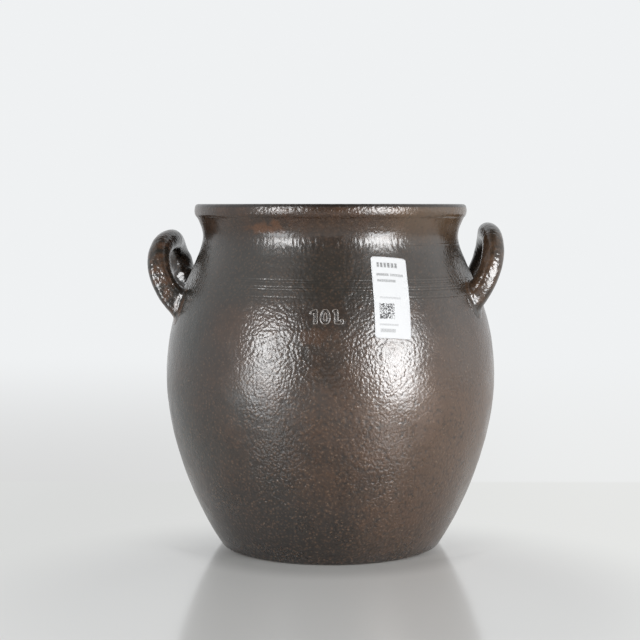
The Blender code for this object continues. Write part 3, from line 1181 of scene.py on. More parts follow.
    def foot(self) -> np.ndarray:
        """The rounded edge of the foot, from the wall to the flat underside."""
        outer = self.outer_wall()
        return self.arc(outer[-20], outer[-1], np.array([0.0, 0.0]), self.foot_rounding)


@dataclass(frozen=True)
class StampedMark:
    """The capacity mark: a figure and a unit, pressed in the soft clay with a stamp."""

    azimuth_deg: float = -87.8
    centre_height: float = 0.1962
    cap_height: float = 8.8
    depth: float = 0.00072
    burr: float = 0.00032
    stroke: float = 0.64
    edge: float = 0.31
    bed: float = 0.00016
    bed_fade: Span = (6.0, 2.5)
    burr_share: float = 1.6
    one_at: float = -8.2
    unit_at: float = 7.2
    nought_at: float = -1.0
    nought_half_width: float = 2.35
    half_size: Span = (18, 10)

    def strokes(self) -> list[tuple[tuple[float, float], tuple[float, float]]]:
        """The straight strokes of the mark.

        Returns:
            The ends of each, in millimetres from the middle of the mark.
        """
        top, low = self.cap_height / 2, -self.cap_height / 2
        one, ell = self.one_at, self.unit_at
        return [
            ((one, low), (one, top)),
            ((one - 3.0, top - 1.3), (one, top)),
            ((ell, low), (ell, top)),
            ((ell - 1.3, top), (ell, top)),
            ((ell, low), (ell + 3.6, low)),
            ((ell + 3.6, low), (ell + 4.0, low + 1.3)),
        ]

    def depth_at(self, angle: np.ndarray, height: np.ndarray, form: WallForm) -> np.ndarray:
        """How deep the stamp has gone.

        Args:
            angle: the angle about Z.
            height: the height above the table.
            form: the wall that it is pressed into.

        Returns:
            The depth at each place, below zero where clay has risen beside a stroke.
        """
        radius = float(form.radius(np.array([self.centre_height]))[0])
        lean = math.cos(float(form.slope(np.array([self.centre_height]))[0]))
        middle = math.radians(self.azimuth_deg)
        across = (angle - middle + math.pi) % (2 * math.pi) - math.pi
        x = across * radius / MM
        y = (height - self.centre_height) / lean / MM
        near = (np.abs(x) < self.half_size[0]) & (np.abs(y) < self.half_size[1])
        depth = np.zeros(len(x))
        x, y = x[near], y[near]
        away = np.full(len(x), 99.0)
        for (x0, y0), (x1, y1) in self.strokes():
            dx, dy = x1 - x0, y1 - y0
            t = np.clip(((x - x0) * dx + (y - y0) * dy) / (dx * dx + dy * dy), 0, 1)
            away = np.minimum(away, np.hypot(x - x0 - t * dx, y - y0 - t * dy))
        wide, tall, nought = self.nought_half_width, self.cap_height / 2, x - self.nought_at
        ring = np.hypot(nought / wide, y / tall)
        steep = np.hypot(nought / wide**2, y / tall**2) / np.maximum(ring, 0.05)
        away = np.minimum(away, np.abs(ring - 1) / np.maximum(steep, 0.05))
        pressed = Solver.smooth(away, self.stroke + self.edge, self.stroke - self.edge)
        risen = np.exp(-(((away - self.stroke - self.burr_share * self.edge) / self.edge) ** 2))
        bed = Solver.smooth(away, *self.bed_fade) * self.bed
        depth[near] = pressed * self.depth - risen * self.burr + bed
        return depth


@dataclass(frozen=True)
class ThrownBody:
    """The crock's one thrown piece: foot, wall, neck, rolled rim, turned lines and the mark."""

    form: WallForm
    mark: StampedMark
    lines: tuple[tuple[float, float], ...] = (
        (0.2490, 0.8),
        (0.2222, 1.0),
        (0.2206, 0.7),
        (0.2170, 1.0),
        (0.2152, 0.8),
        (0.2095, 0.7),
    )
    neck_line_from_deg: float = -50.0
    neck_line_to_deg: float = -8.0
    neck_line_fade_deg: float = 6.0
    neck_line_below_top: float = 0.035
    line_depth: float = 0.00019
    line_width: float = 0.00056
    line_tilt: float = 0.0010
    line_worn: float = 0.40
    line_worn_size: float = 0.016
    line_worn_stretch: Spot = (1.0, 1.0, 0.2)
    line_side: Span = (0.035, 0.060)
    line_side_shares: Span = (0.82, 0.58)
    base_depth: float = 0.00018
    lump: Span = (0.00022, 0.060)
    dent: Span = (0.00010, 0.017)
    grain: Span = (0.00008, 0.0055)
    drag: Span = (0.00007, 0.0042)
    drag_stretch: Spot = (0.12, 0.12, 1.0)
    column_pitch_deg: float = 0.80
    mark_half_deg: float = 6.6
    mark_radius: float = 0.12
    mark_pitch: float = 0.00029
    mark_reach: float = 0.0064
    row_pitch: float = 0.0020
    line_pitch: float = 0.00048
    line_reach: float = 0.0026
    foot_pitch: float = 0.0008
    foot_top: float = 0.008
    rim_pitch: float = 0.0009
    rim_bottom: float = 0.262
    inside_pitch: float = 0.0055
    under_rings: int = 11
    foot_fade: float = 0.004
    top_fade: Span = (0.0002, 0.003)

    def relief(self, points: np.ndarray) -> np.ndarray:
        """How far the real surface lies inside the perfect outline.

        Args:
            points: places on or near the outer wall.

        Returns:
            The depth at each place.
        """
        angle = np.arctan2(points[:, 1], points[:, 0])
        height = points[:, 2]
        lumps = ClayNoise(4)
        ripple = ClayNoise(9)
        depth = np.full(len(points), self.base_depth)
        for deep, size in (self.lump, self.dent):
            depth += deep * (1 + lumps.at(points, size)) / 2
        depth += self.grain[0] * ripple.at(points, self.grain[1])
        depth += self.drag[0] * lumps.at(points * self.drag_stretch, self.drag[1])
        worn = ripple.at(points * self.line_worn_stretch, self.line_worn_size)
        worn = 1 - self.line_worn + self.line_worn * worn
        left, more = self.line_side_shares
        worn *= left + more * Solver.smooth(points[:, 0], *self.line_side)
        tilt = self.line_tilt * np.cos(angle)
        turned = np.degrees(angle)
        first, last, fade = self.neck_line_from_deg, self.neck_line_to_deg, self.neck_line_fade_deg
        on_neck = Solver.smooth(turned, first - fade, first)
        on_neck *= Solver.smooth(turned, last + fade, last)
        for line, strength in self.lines:
            off = (height - line + tilt) / self.line_width
            cut = np.exp(-(off**2)) - 0.45 * np.exp(-((np.abs(off) - 1.9) ** 2) / 0.6)
            share = on_neck if line > self.form.height - self.neck_line_below_top else 1.0
            depth += self.line_depth * strength * worn * cut * share
        depth += self.mark.depth_at(angle, height, self.form)
        return np.clip(depth, 0, None)

    def distance(self, points: np.ndarray) -> np.ndarray:
        """The distance out from the real outer surface.

        Args:
            points: places near the outer wall.

        Returns:
            The distance at each place, below zero inside the clay.
        """
        radius = np.hypot(points[:, 0], points[:, 1])
        perfect = self.form.radius(points[:, 2])
        lean = np.cos(self.form.slope(points[:, 2]))
        return (radius - perfect) * lean + self.relief(points)

    @staticmethod
    def spread(along: np.ndarray, pitch: np.ndarray) -> np.ndarray:
        """Steps along a line whose pitch changes on the way.

        Args:
            along: places along the line, rising.
            pitch: the wanted distance between steps at each place.

        Returns:
            The places of the steps, both ends among them.
        """
        middle = (1 / pitch[1:] + 1 / pitch[:-1]) / 2
        count = np.concatenate([[0], np.cumsum(np.diff(along) * middle)])
        steps = max(2, int(round(count[-1])))
        return np.interp(np.linspace(0, count[-1], steps + 1), count, along)

    def rows(self, outline: np.ndarray, fine: bool) -> np.ndarray:
        """An outline cut into rows of quads.

        Args:
            outline: its points, as radius and height.
            fine: whether it is the outside, with rows close together at lines and mark.

        Returns:
            The rows, as radius and height.
        """
        steps = np.concatenate([[0], np.cumsum(np.linalg.norm(np.diff(outline, axis=0), axis=1))])
        height = outline[:, 1]
        if fine:
            pitch = np.full(len(outline), self.row_pitch)
            for line, _ in self.lines:
                pitch[np.abs(height - line) < self.line_reach] = self.line_pitch
            pitch[np.abs(height - self.mark.centre_height) < self.mark_reach] = self.mark_pitch
            pitch[height < self.foot_top] = self.foot_pitch
            pitch[height > self.rim_bottom] = self.rim_pitch
        else:
            pitch = np.full(len(outline), self.inside_pitch)
        at = self.spread(steps, pitch)
        return np.stack([np.interp(at, steps, outline[:, i]) for i in range(2)], 1)

    def columns(self) -> np.ndarray:
        """The columns of the mesh, close together behind the mark.

        Returns:
            Their angles about Z.
        """
        angles = np.radians(np.arange(-180, 180.01, 0.05))
        middle = math.radians(self.mark.azimuth_deg)
        pitch = np.full(len(angles), math.radians(self.column_pitch_deg))
        at_mark = np.abs(angles - middle) < math.radians(self.mark_half_deg)
        pitch[at_mark] = self.mark_pitch / self.mark_radius
        return self.spread(angles, pitch)[:-1]

    def section(self) -> tuple[np.ndarray, np.ndarray]:
        """The whole section.

        Returns:
            Its rows as radius and height, and a mask of those on the outside.
        """
        form = self.form
        foot = form.foot()
        wall = form.outer_wall()
        wall = wall[(wall[:, 1] > foot[0, 1]) & (wall[:, 1] < wall[0, 1] - 0.0001)]
        outside = np.concatenate([form.rim(), wall, foot])
        inner = self.rows(form.inside(), fine=False)
        outer = self.rows(outside, fine=True)
        rings = self.under_rings
        under = np.stack([np.linspace(foot[-1, 0], 0, rings + 1)[1:], np.zeros(rings)], 1)
        rows = np.concatenate([inner[:-1], outer, under])
        shown = np.zeros(len(rows), bool)
        shown[len(inner) - 1 : len(inner) - 1 + len(outer)] = True
        return rows, shown

    def build(self) -> bpy.types.Object:
        """Turns the section about Z, with the real surface's relief on the outside.

        Returns:
            The body, one closed mesh.
        """
        rows, shown = self.section()
        angles = self.columns()
        along = np.gradient(rows, axis=0)
        along /= np.linalg.norm(along, axis=1)[:, None]
        out = np.stack([-along[:, 1], along[:, 0]], 1)
        ring = rows[1:-1]
        direction = np.stack([np.cos(angles), np.sin(angles)], 1)
        radius = np.repeat(ring[:, :1], len(angles), 1)
        height = np.repeat(ring[:, 1:], len(angles), 1)
        points = np.stack([radius * direction[:, 0], radius * direction[:, 1], height], -1)
        flat = points.reshape(-1, 3)
        depth = np.zeros(len(flat))
        outside = np.repeat(shown[1:-1], len(angles))
        depth[outside] = self.relief(flat[outside])
        depth *= Solver.smooth(flat[:, 2], 0.0, self.foot_fade)
        below_top = self.form.height - flat[:, 2]
        depth *= Solver.smooth(below_top, *self.top_fade)
        normal = np.repeat(out[1:-1], len(angles), 0)
        turn = np.tile(direction, (len(ring), 1))
        flat[:, :2] -= (depth * normal[:, 0])[:, None] * turn
        flat[:, 2] -= depth * normal[:, 1]
        columns = len(angles)
        faces = []
        for row in range(len(ring) - 1):
            a = row * columns + np.arange(columns)
            b = row * columns + (np.arange(columns) + 1) % columns
            faces.append(np.stack([a, b, b + columns, a + columns], 1))
        quads = np.concatenate(faces)
        points = np.concatenate([flat, [[0, 0, rows[0, 1]], [0, 0, rows[-1, 1]]]])
        start, last = len(flat), (len(ring) - 1) * columns
        here = np.arange(columns)
        following = (here + 1) % columns
        floor_cap = np.stack([np.full(columns, start), following, here], 1)
        under_cap = np.stack([np.full(columns, start + 1), last + here, last + following], 1)
        piece = as_object("stoneware_body", points, [quads, floor_cap, under_cap])
        marked = np.zeros(len(points))
        angle = np.arctan2(flat[outside, 1], flat[outside, 0])
        marked[:start][outside] = self.mark.depth_at(angle, flat[outside, 2], self.form)
        for name, reach in (("pressed", self.mark.depth), ("raised", -self.mark.burr)):
            layer = piece.data.attributes.new(name, "FLOAT", "POINT")
            layer.data.foreach_set("value", np.clip(marked / reach, 0, 1).astype(np.float32))
        return piece


@dataclass(frozen=True)
class CoilEar:
    """One ear: a hand-rolled coil bent into a loop and luted to the shoulder."""

    side: Side
    azimuth_deg: float
    foot_below_top: float
    foot_depth: float
    rise: float
    limb_reach: float
    upper_reach: float
    crown_reach: float
    foot_coil: float
    limb_coil: float
    crown_coil: float
    foot_half_span: float = 0.041
    limb_half_span: float = 0.050
    crown_half_span: float = 0.038
    low_share: float = 0.44
    limb_share: float = 0.4
    fillet: float = 0.0062
    sunk: float = 0.0025
    skirt: float = 0.00004
    pitch: float = 0.00080
    shrink: float = 0.00022
    seam_depth: float = 0.0005
    seam_width: float = 0.0012
    lip_height: float = 0.0003
    lip_width: float = 0.0014
    flat_deg: float = -88.0
    flat_share: float = 0.74
    flat_side: Span = (0.004, -0.022)
    flat_blend: float = 0.0014
    lump: Span = (0.00050, 0.016)
    grain: Span = (0.00014, 0.0060)
    press_shares: Span = (0.55, 0.45)
    press_size: float = 0.0075
    lip_share: float = 2.6
    edge_share: float = 0.97
    limb_steps: int = 26
    dab: tuple[tuple[Spot, float], ...] = ()
    dab_flat: float = 0.0094
    dab_facing: Spot = (-0.2207, -0.9680, 0.1217)
    dab_blend: float = 0.0065

    def path(self, form: WallForm) -> tuple[np.ndarray, np.ndarray]:
        """The coil's centreline and its radius along it.

        Args:
            form: the wall that carries the ear.

        Returns:
            The centreline's points and the coil's radius at each.
        """
        foot = form.height - self.foot_below_top
        crown = foot + self.rise
        low = foot + self.rise * self.low_share
        shoulder = float(form.radius(np.array([foot]))[0])
        out = math.sqrt((shoulder - self.foot_depth) ** 2 - self.foot_half_span**2)
        halves = []
        for side in (-1, 1):
            halves.append(
                Solver.bezier(
                    (out, side * self.foot_half_span, foot),
                    (shoulder + self.limb_reach, side * self.limb_half_span, low),
                    (shoulder + self.upper_reach, side * self.crown_half_span, crown),
                    (shoulder + self.crown_reach, 0, crown),
                    self.limb_steps,
                )
            )
        points = np.concatenate([halves[0], halves[1][-2::-1]])
        share = 1 - np.abs(np.linspace(-1, 1, len(points)))
        near_foot = Solver.smooth(share, 0, self.limb_share)
        near_crown = Solver.smooth(share, self.limb_share, 1)
        coil = self.foot_coil + (self.limb_coil - self.foot_coil) * near_foot
        coil += (self.crown_coil - self.limb_coil) * near_crown
        turn = math.radians(self.azimuth_deg)
        c, s = math.cos(turn), math.sin(turn)
        turned = points.copy()
        turned[:, 0] = c * points[:, 0] - s * points[:, 1]
        turned[:, 1] = s * points[:, 0] + c * points[:, 1]
        return turned, coil - self.shrink

    def coil_distance(self, points: np.ndarray, form: WallForm) -> np.ndarray:
        """The distance to the coil alone.

        Args:
            points: where to measure.
            form: the wall that carries the ear.

        Returns:
            The distance at each place, below zero inside.
        """
        line, radius = self.path(form)
        away = np.full(len(points), 1.0)
        flat = np.full(len(points), -1.0)
        turn = math.radians(self.flat_deg)
        facing = np.array([math.cos(turn), math.sin(turn), 0.0])
        reach = radius.max() + 2 * self.fillet + 0.003
        for i in range(len(line) - 1):
            near = np.flatnonzero(((points - line[i]) ** 2).sum(1) < reach * reach)
            step = line[i + 1] - line[i]
            from_start = points[near] - line[i]
            share = np.clip(from_start @ step / (step @ step), 0, 1)
            offset = from_start - share[:, None] * step
            coil = radius[i] + share * (radius[i + 1] - radius[i])
            here = np.linalg.norm(offset, axis=1) - coil
            closer = here < away[near]
            away[near[closer]] = here[closer]
            pressed = Solver.smooth(line[i : i + 1, 1], *self.flat_side)[0]
            flat_here = offset @ facing - coil * (1 - (1 - self.flat_share) * pressed)
            flat[near[closer]] = flat_here[closer]
        away = -Solver.blend(-away, -flat, self.flat_blend)
        if self.dab:
            away = Solver.blend(away, self.dab_distance(points), self.dab_blend)
        hand = ClayNoise(21 if self.side is Side.LEFT else 22)
        away += self.lump[0] * (1 + hand.at(points, self.lump[1])) / 2
        away += self.grain[0] * hand.at(points, self.grain[1])
        return away

    def dab_distance(self, points: np.ndarray) -> np.ndarray:
        """The distance to the clay smeared along the far limb, with the flat that a thumb left.

        Args:
            points: where to measure.

        Returns:
            The distance at each place, below zero inside.
        """
        away = np.full(len(points), 1.0)
        for (start, first), (end, last) in zip(self.dab, self.dab[1:]):
            step = np.array(end) - np.array(start)
            off = points - np.array(start)
            share = np.clip(off @ step / (step @ step), 0, 1)
            here = np.linalg.norm(off - share[:, None] * step, axis=1)
            away = np.minimum(away, here - first - share * (last - first))
        middle, _ = self.dab[1]
        face = (points - np.array(middle)) @ np.array(self.dab_facing) - self.dab_flat
        return np.maximum(away, face)

    def distance(self, points: np.ndarray, body: ThrownBody) -> np.ndarray:
        """The distance to the ear with its fillets, as a solid of its own.

        Args:
            points: where to measure.
            body: the thrown body that carries the ear.

        Returns:
            The distance at each place, below zero inside.
        """
        coil = self.coil_distance(points, body.form)
        wall = body.distance(points) + self.skirt
        joined = Solver.blend(coil, wall, self.fillet)
        even, uneven = self.press_shares
        press = even + uneven * ClayNoise(31).at(points, self.press_size)
        middle = self.fillet / 4
        off = ((coil - middle) ** 2 + (wall - middle) ** 2) / self.seam_width**2
        joined = joined + self.seam_depth * press * np.exp(-off)
        off = ((coil - self.lip_share * middle) ** 2 + wall * wall / 4) / self.lip_width**2
        joined = joined - self.lip_height * press * np.exp(-off)
        edge = coil - wall - self.edge_share * self.fillet
        return np.maximum(np.maximum(joined, -wall - self.sunk), edge)

    def build(self, body: ThrownBody) -> bpy.types.Object:
        """Draws the ear's surface from its distance field.

        Args:
            body: the thrown body that carries the ear.

        Returns:
            The ear, one closed mesh.
        """
        line, radius = self.path(body.form)
        margin = radius.max() + self.fillet + 0.002
        net = SurfaceNet(line.min(0) - margin, line.max(0) + margin, self.pitch)
        places = net.points()
        near = np.zeros(len(places), bool)
        for i in range(0, len(line), 2):
            near |= ((places - line[i]) ** 2).sum(1) < (margin + 0.006) ** 2
        field = np.full(len(places), 0.01)
        field[near] = self.distance(places[near], body)
        points, quads = net.mesh(field)
        step = 0.0001
        for _ in range(2):
            here = self.distance(points, body)
            slope = np.stack(
                [
                    (self.distance(points + step * axis, body) - here) / step
                    for axis in np.eye(3)
                ],
                1,
            )
            size = np.maximum((slope**2).sum(1), 0.25)
            move = -here[:, None] * slope / size[:, None]
            points = points + np.clip(move, -self.pitch / 2, self.pitch / 2)
        return as_object(f"ear_{self.side.value}_coil", points, [quads])


@dataclass(frozen=True)
class PaperLabel:
    """The paper label on the front right of the shoulder, with plain printed blocks."""

    width: float = 0.029
    length: float = 0.064
    corner: float = 0.0025
    below_top: float = 0.0695
    azimuth_deg: float = -64.2
    tilt_deg: float = 5.0
    lift: float = 0.00012
    thickness: float = 0.00020
    pitch: float = 0.0010
    paper_tone: Tone = (0.748, 0.758, 0.768)
    ink_tone: Tone = (0.03, 0.03, 0.03)
    heading_mm: tuple[Span, ...] = (
        (-9.2, 0.85),
        (-6.4, 0.95),
        (-3.5, 0.90),
        (-0.6, 1.05),
        (2.4, 1.05),
        (5.4, 1.00),
    )
    heading_height_mm: float = 25.4
    heading_half_mm: float = 1.9
    heading_ink: float = 0.86
    rows_mm: tuple[tuple[float, float, float, float, float], ...] = (
        (-6.0, 17.6, 4.9, 1.0, 0.62),
        (5.4, 17.6, 5.4, 1.0, 0.50),
        (-3.3, 12.7, 7.4, 1.0, 0.60),
        (-1.4, -0.8, 8.4, 0.8, 0.30),
        (-3.2, -21.7, 7.6, 0.7, 0.32),
        (-4.2, -26.1, 6.0, 1.3, 0.42),
    )
    block_depth_mm: float = 9.0
    dots_at_mm: Spot = (-4.5, -11.3, 0.0)
    dots_half_mm: Spot = (6.0, 6.0, 9.0)
    dots_per_mm: Spot = (1.66, 1.66, 0.0)
    dots_bare_share: float = 0.48
    dots_ink: float = 0.9

    def place(self, form: WallForm) -> Matrix:
        """Where the label's middle lies.

        Args:
            form: the wall that carries it.

        Returns:
            Its frame, with X across the label, Y along it and Z out of the wall.
        """
        height = form.height - self.below_top
        heights = np.array([height])
        place = Matrix.Rotation(math.radians(self.azimuth_deg), 4, "Z")
        place @= Matrix.Translation((float(form.radius(heights)[0]), 0, height))
        place @= Matrix.Rotation(math.pi / 2 - float(form.slope(heights)[0]), 4, "Y")
        place @= Matrix.Rotation(math.pi / 2 - math.radians(self.tilt_deg), 4, "Z")
        return place

    def build(self, body: ThrownBody) -> bpy.types.Object:
        """Lays the sheet on the wall.

        Args:
            body: the thrown body that carries it.

        Returns:
            The label, a thin closed sheet.
        """
        across = int(round(self.width / self.pitch))
        up = int(round(self.length / self.pitch))
        u = np.linspace(-1, 1, across + 1)
        v = np.linspace(-1, 1, up + 1)
        grid_u, grid_v = (g.ravel() for g in np.meshgrid(u, v, indexing="ij"))
        x, y = grid_u * self.width / 2, grid_v * self.length / 2
        in_x = np.abs(x) - (self.width / 2 - self.corner)
        in_y = np.abs(y) - (self.length / 2 - self.corner)
        cornered = (in_x > 0) & (in_y > 0)
        reach = np.maximum(in_x, in_y)[cornered]
        flat = np.hypot(in_x, in_y)[cornered]
        shrink = reach / np.maximum(flat, 1e-9)
        x[cornered] -= np.sign(x[cornered]) * in_x[cornered] * (1 - shrink)
        y[cornered] -= np.sign(y[cornered]) * in_y[cornered] * (1 - shrink)
        place = np.array(self.place(body.form))
        sheets = []
        for lift in (self.lift + self.thickness, self.lift):
            local = np.stack([x, y, np.zeros(len(x))], 1)
            for _ in range(4):
                world = local @ place[:3, :3].T + place[:3, 3]
                radius = np.hypot(world[:, 0], world[:, 1])
                lean = np.cos(body.form.slope(world[:, 2]))
                off = (radius - body.form.radius(world[:, 2])) * lean
                local[:, 2] += lift - off
            sheets.append(local @ place[:3, :3].T + place[:3, 3])
        count = len(x)
        number = np.arange(count).reshape(across + 1, up + 1)
        a, b = number[:-1, :-1].ravel(), number[1:, :-1].ravel()
        c, d = number[1:, 1:].ravel(), number[:-1, 1:].ravel()
        face = np.stack([a, b, c, d], 1)
        back = np.stack([d, c, b, a], 1) + count
        border = np.concatenate(
            [number[:, 0], number[-1, 1:], number[-2::-1, -1], number[0, -2:0:-1]]
        )
        following = np.roll(border, -1)
        side = np.stack([following, border, border + count, following + count], 1)
        piece = as_object("paper_label", np.concatenate(sheets), [face, back, side])
        sheet = piece.data.uv_layers.new(name="sheet")
        corner_vertex = np.zeros(len(piece.data.loops), int)
        piece.data.loops.foreach_get("vertex_index", corner_vertex)
        uv = np.stack([x, y], 1)[corner_vertex % count] / MM
        sheet.data.foreach_set("uv", uv.ravel())
        return piece

    def paper(self, shelf: Shelf) -> bpy.types.Material:
        """White label paper with grey blocks in place of print.

        Args:
            shelf: where the shared node groups are.

        Returns:
            The material.
        """
        made, net, shader = new_material("printed_paper")
        sheet = net.add("ShaderNodeUVMap")
        sheet.uv_map = "sheet"
        place = sheet.outputs["UV"]
        heading = tuple(
            (x, self.heading_height_mm, half, self.heading_half_mm, self.heading_ink)
            for x, half in self.heading_mm
        )
        ink: object = 0.0
        for x, y, half_width, half_height, darkness in heading + self.rows_mm:
            mask = net.group(
                shelf.bar(),
                "Mask",
                Place=place,
                Middle=(x, y, 0),
                Half=(half_width, half_height, self.block_depth_mm),
                Blur=0.35,
            )
            ink = net.sum("MAXIMUM", ink, net.times(mask, darkness))
        worn = net.group(
            shelf.mottle(), "Mask", Place=place, Size=620.0, From=0.40, To=0.56, Detail=2.0
        )
        ink = net.times(ink, net.mix(worn, 0.35, 1.0))
        square = {"Middle": self.dots_at_mm, "Half": self.dots_half_mm, "Blur": 0.1}
        block = net.group(shelf.bar(), "Mask", Place=place, **square)
        dots = net.add("ShaderNodeTexWhiteNoise")
        dots.noise_dimensions = "2D"
        cell = net.vector("FLOOR", net.vector("MULTIPLY", place, self.dots_per_mm))
        net.join(cell, dots.inputs["Vector"])
        drawn = net.sum("GREATER_THAN", dots.outputs["Value"], self.dots_bare_share)
        ink = net.sum("MAXIMUM", ink, net.times(net.times(block, drawn), self.dots_ink))
        colour = net.tint(ink, self.paper_tone, self.ink_tone)
        net.join(colour, shader.inputs["Base Color"])
        shader.inputs["Roughness"].default_value = 0.85
        shader.inputs["IOR"].default_value = 1.35
        fibre = net.add("ShaderNodeTexNoise")
        fibre.inputs["Scale"].default_value = 2.5
        net.join(place, fibre.inputs["Vector"])
        net.join(net.bump(fibre.outputs["Fac"], 0.3, 0.00003), shader.inputs["Normal"])
        return made


@dataclass(frozen=True)
class Lamp:
    """One soft lamp that faces the belly, elliptical or, where large, a rectangle.

    Its directions are about Z, from the camera's side rightwards, and above level. Its width and
    height are shares of its distance, and it shines so many times brighter than white.
    """

    name: str
    azimuth_deg: float
    lift_deg: float
    size_shares: tuple[float, float]
    shine: float
    glow: Glow = Glow.GLARE
    distance: float = 2.2
    mirrored_behind_share: float = 1.015
    glare_behind_share: float = 1.03
    glare_colour: Tone = (0.93, 0.97, 1.0)
    largest_ellipse_share: float = 0.59
    target: Spot = (0, 0, 0.17)

    def hang(self, turn_deg: float, mirrors: bpy.types.Collection) -> None:
        """Hangs the lamp.

        Args:
            turn_deg: the camera's own direction about Z.
            mirrors: what shows a lamp that only gloss mirrors.
        """
        data = bpy.data.lights.new(self.name, "AREA")
        panel = min(self.size_shares) > self.largest_ellipse_share
        data.shape = "RECTANGLE" if panel else "ELLIPSE"
        behind = {Glow.MIRRORED: self.mirrored_behind_share, Glow.GLARE: self.glare_behind_share}
        distance = self.distance * behind.get(self.glow, 1.0)
        data.size, data.size_y = (side * distance for side in self.size_shares)
        area = data.size * data.size_y * (1 if panel else math.pi / 4)
        data.energy = self.shine * math.pi * area
        if self.glow is Glow.GLARE:
            data.color = self.glare_colour
        lamp = bpy.data.objects.new(self.name, data)
        lamp.visible_camera = False
        lamp.visible_diffuse = self.glow in (Glow.LIGHT, Glow.BOTH)
        lamp.visible_glossy = self.glow is not Glow.LIGHT
        if self.glow in (Glow.MIRRORED, Glow.GLARE):
            lamp.light_linking.receiver_collection = mirrors
        bpy.context.scene.collection.objects.link(lamp)
        turn = math.radians(self.azimuth_deg + turn_deg)
        lift = math.radians(self.lift_deg)
        level = math.cos(lift)
        direction = Vector((math.sin(turn) * level, -math.cos(turn) * level, math.sin(lift)))
        lamp.location = Vector(self.target) + direction * distance
        lamp.rotation_euler = direction.to_track_quat("Z", "Y").to_euler()
        log.info("lamp %s: %.1f W", self.name, data.energy)


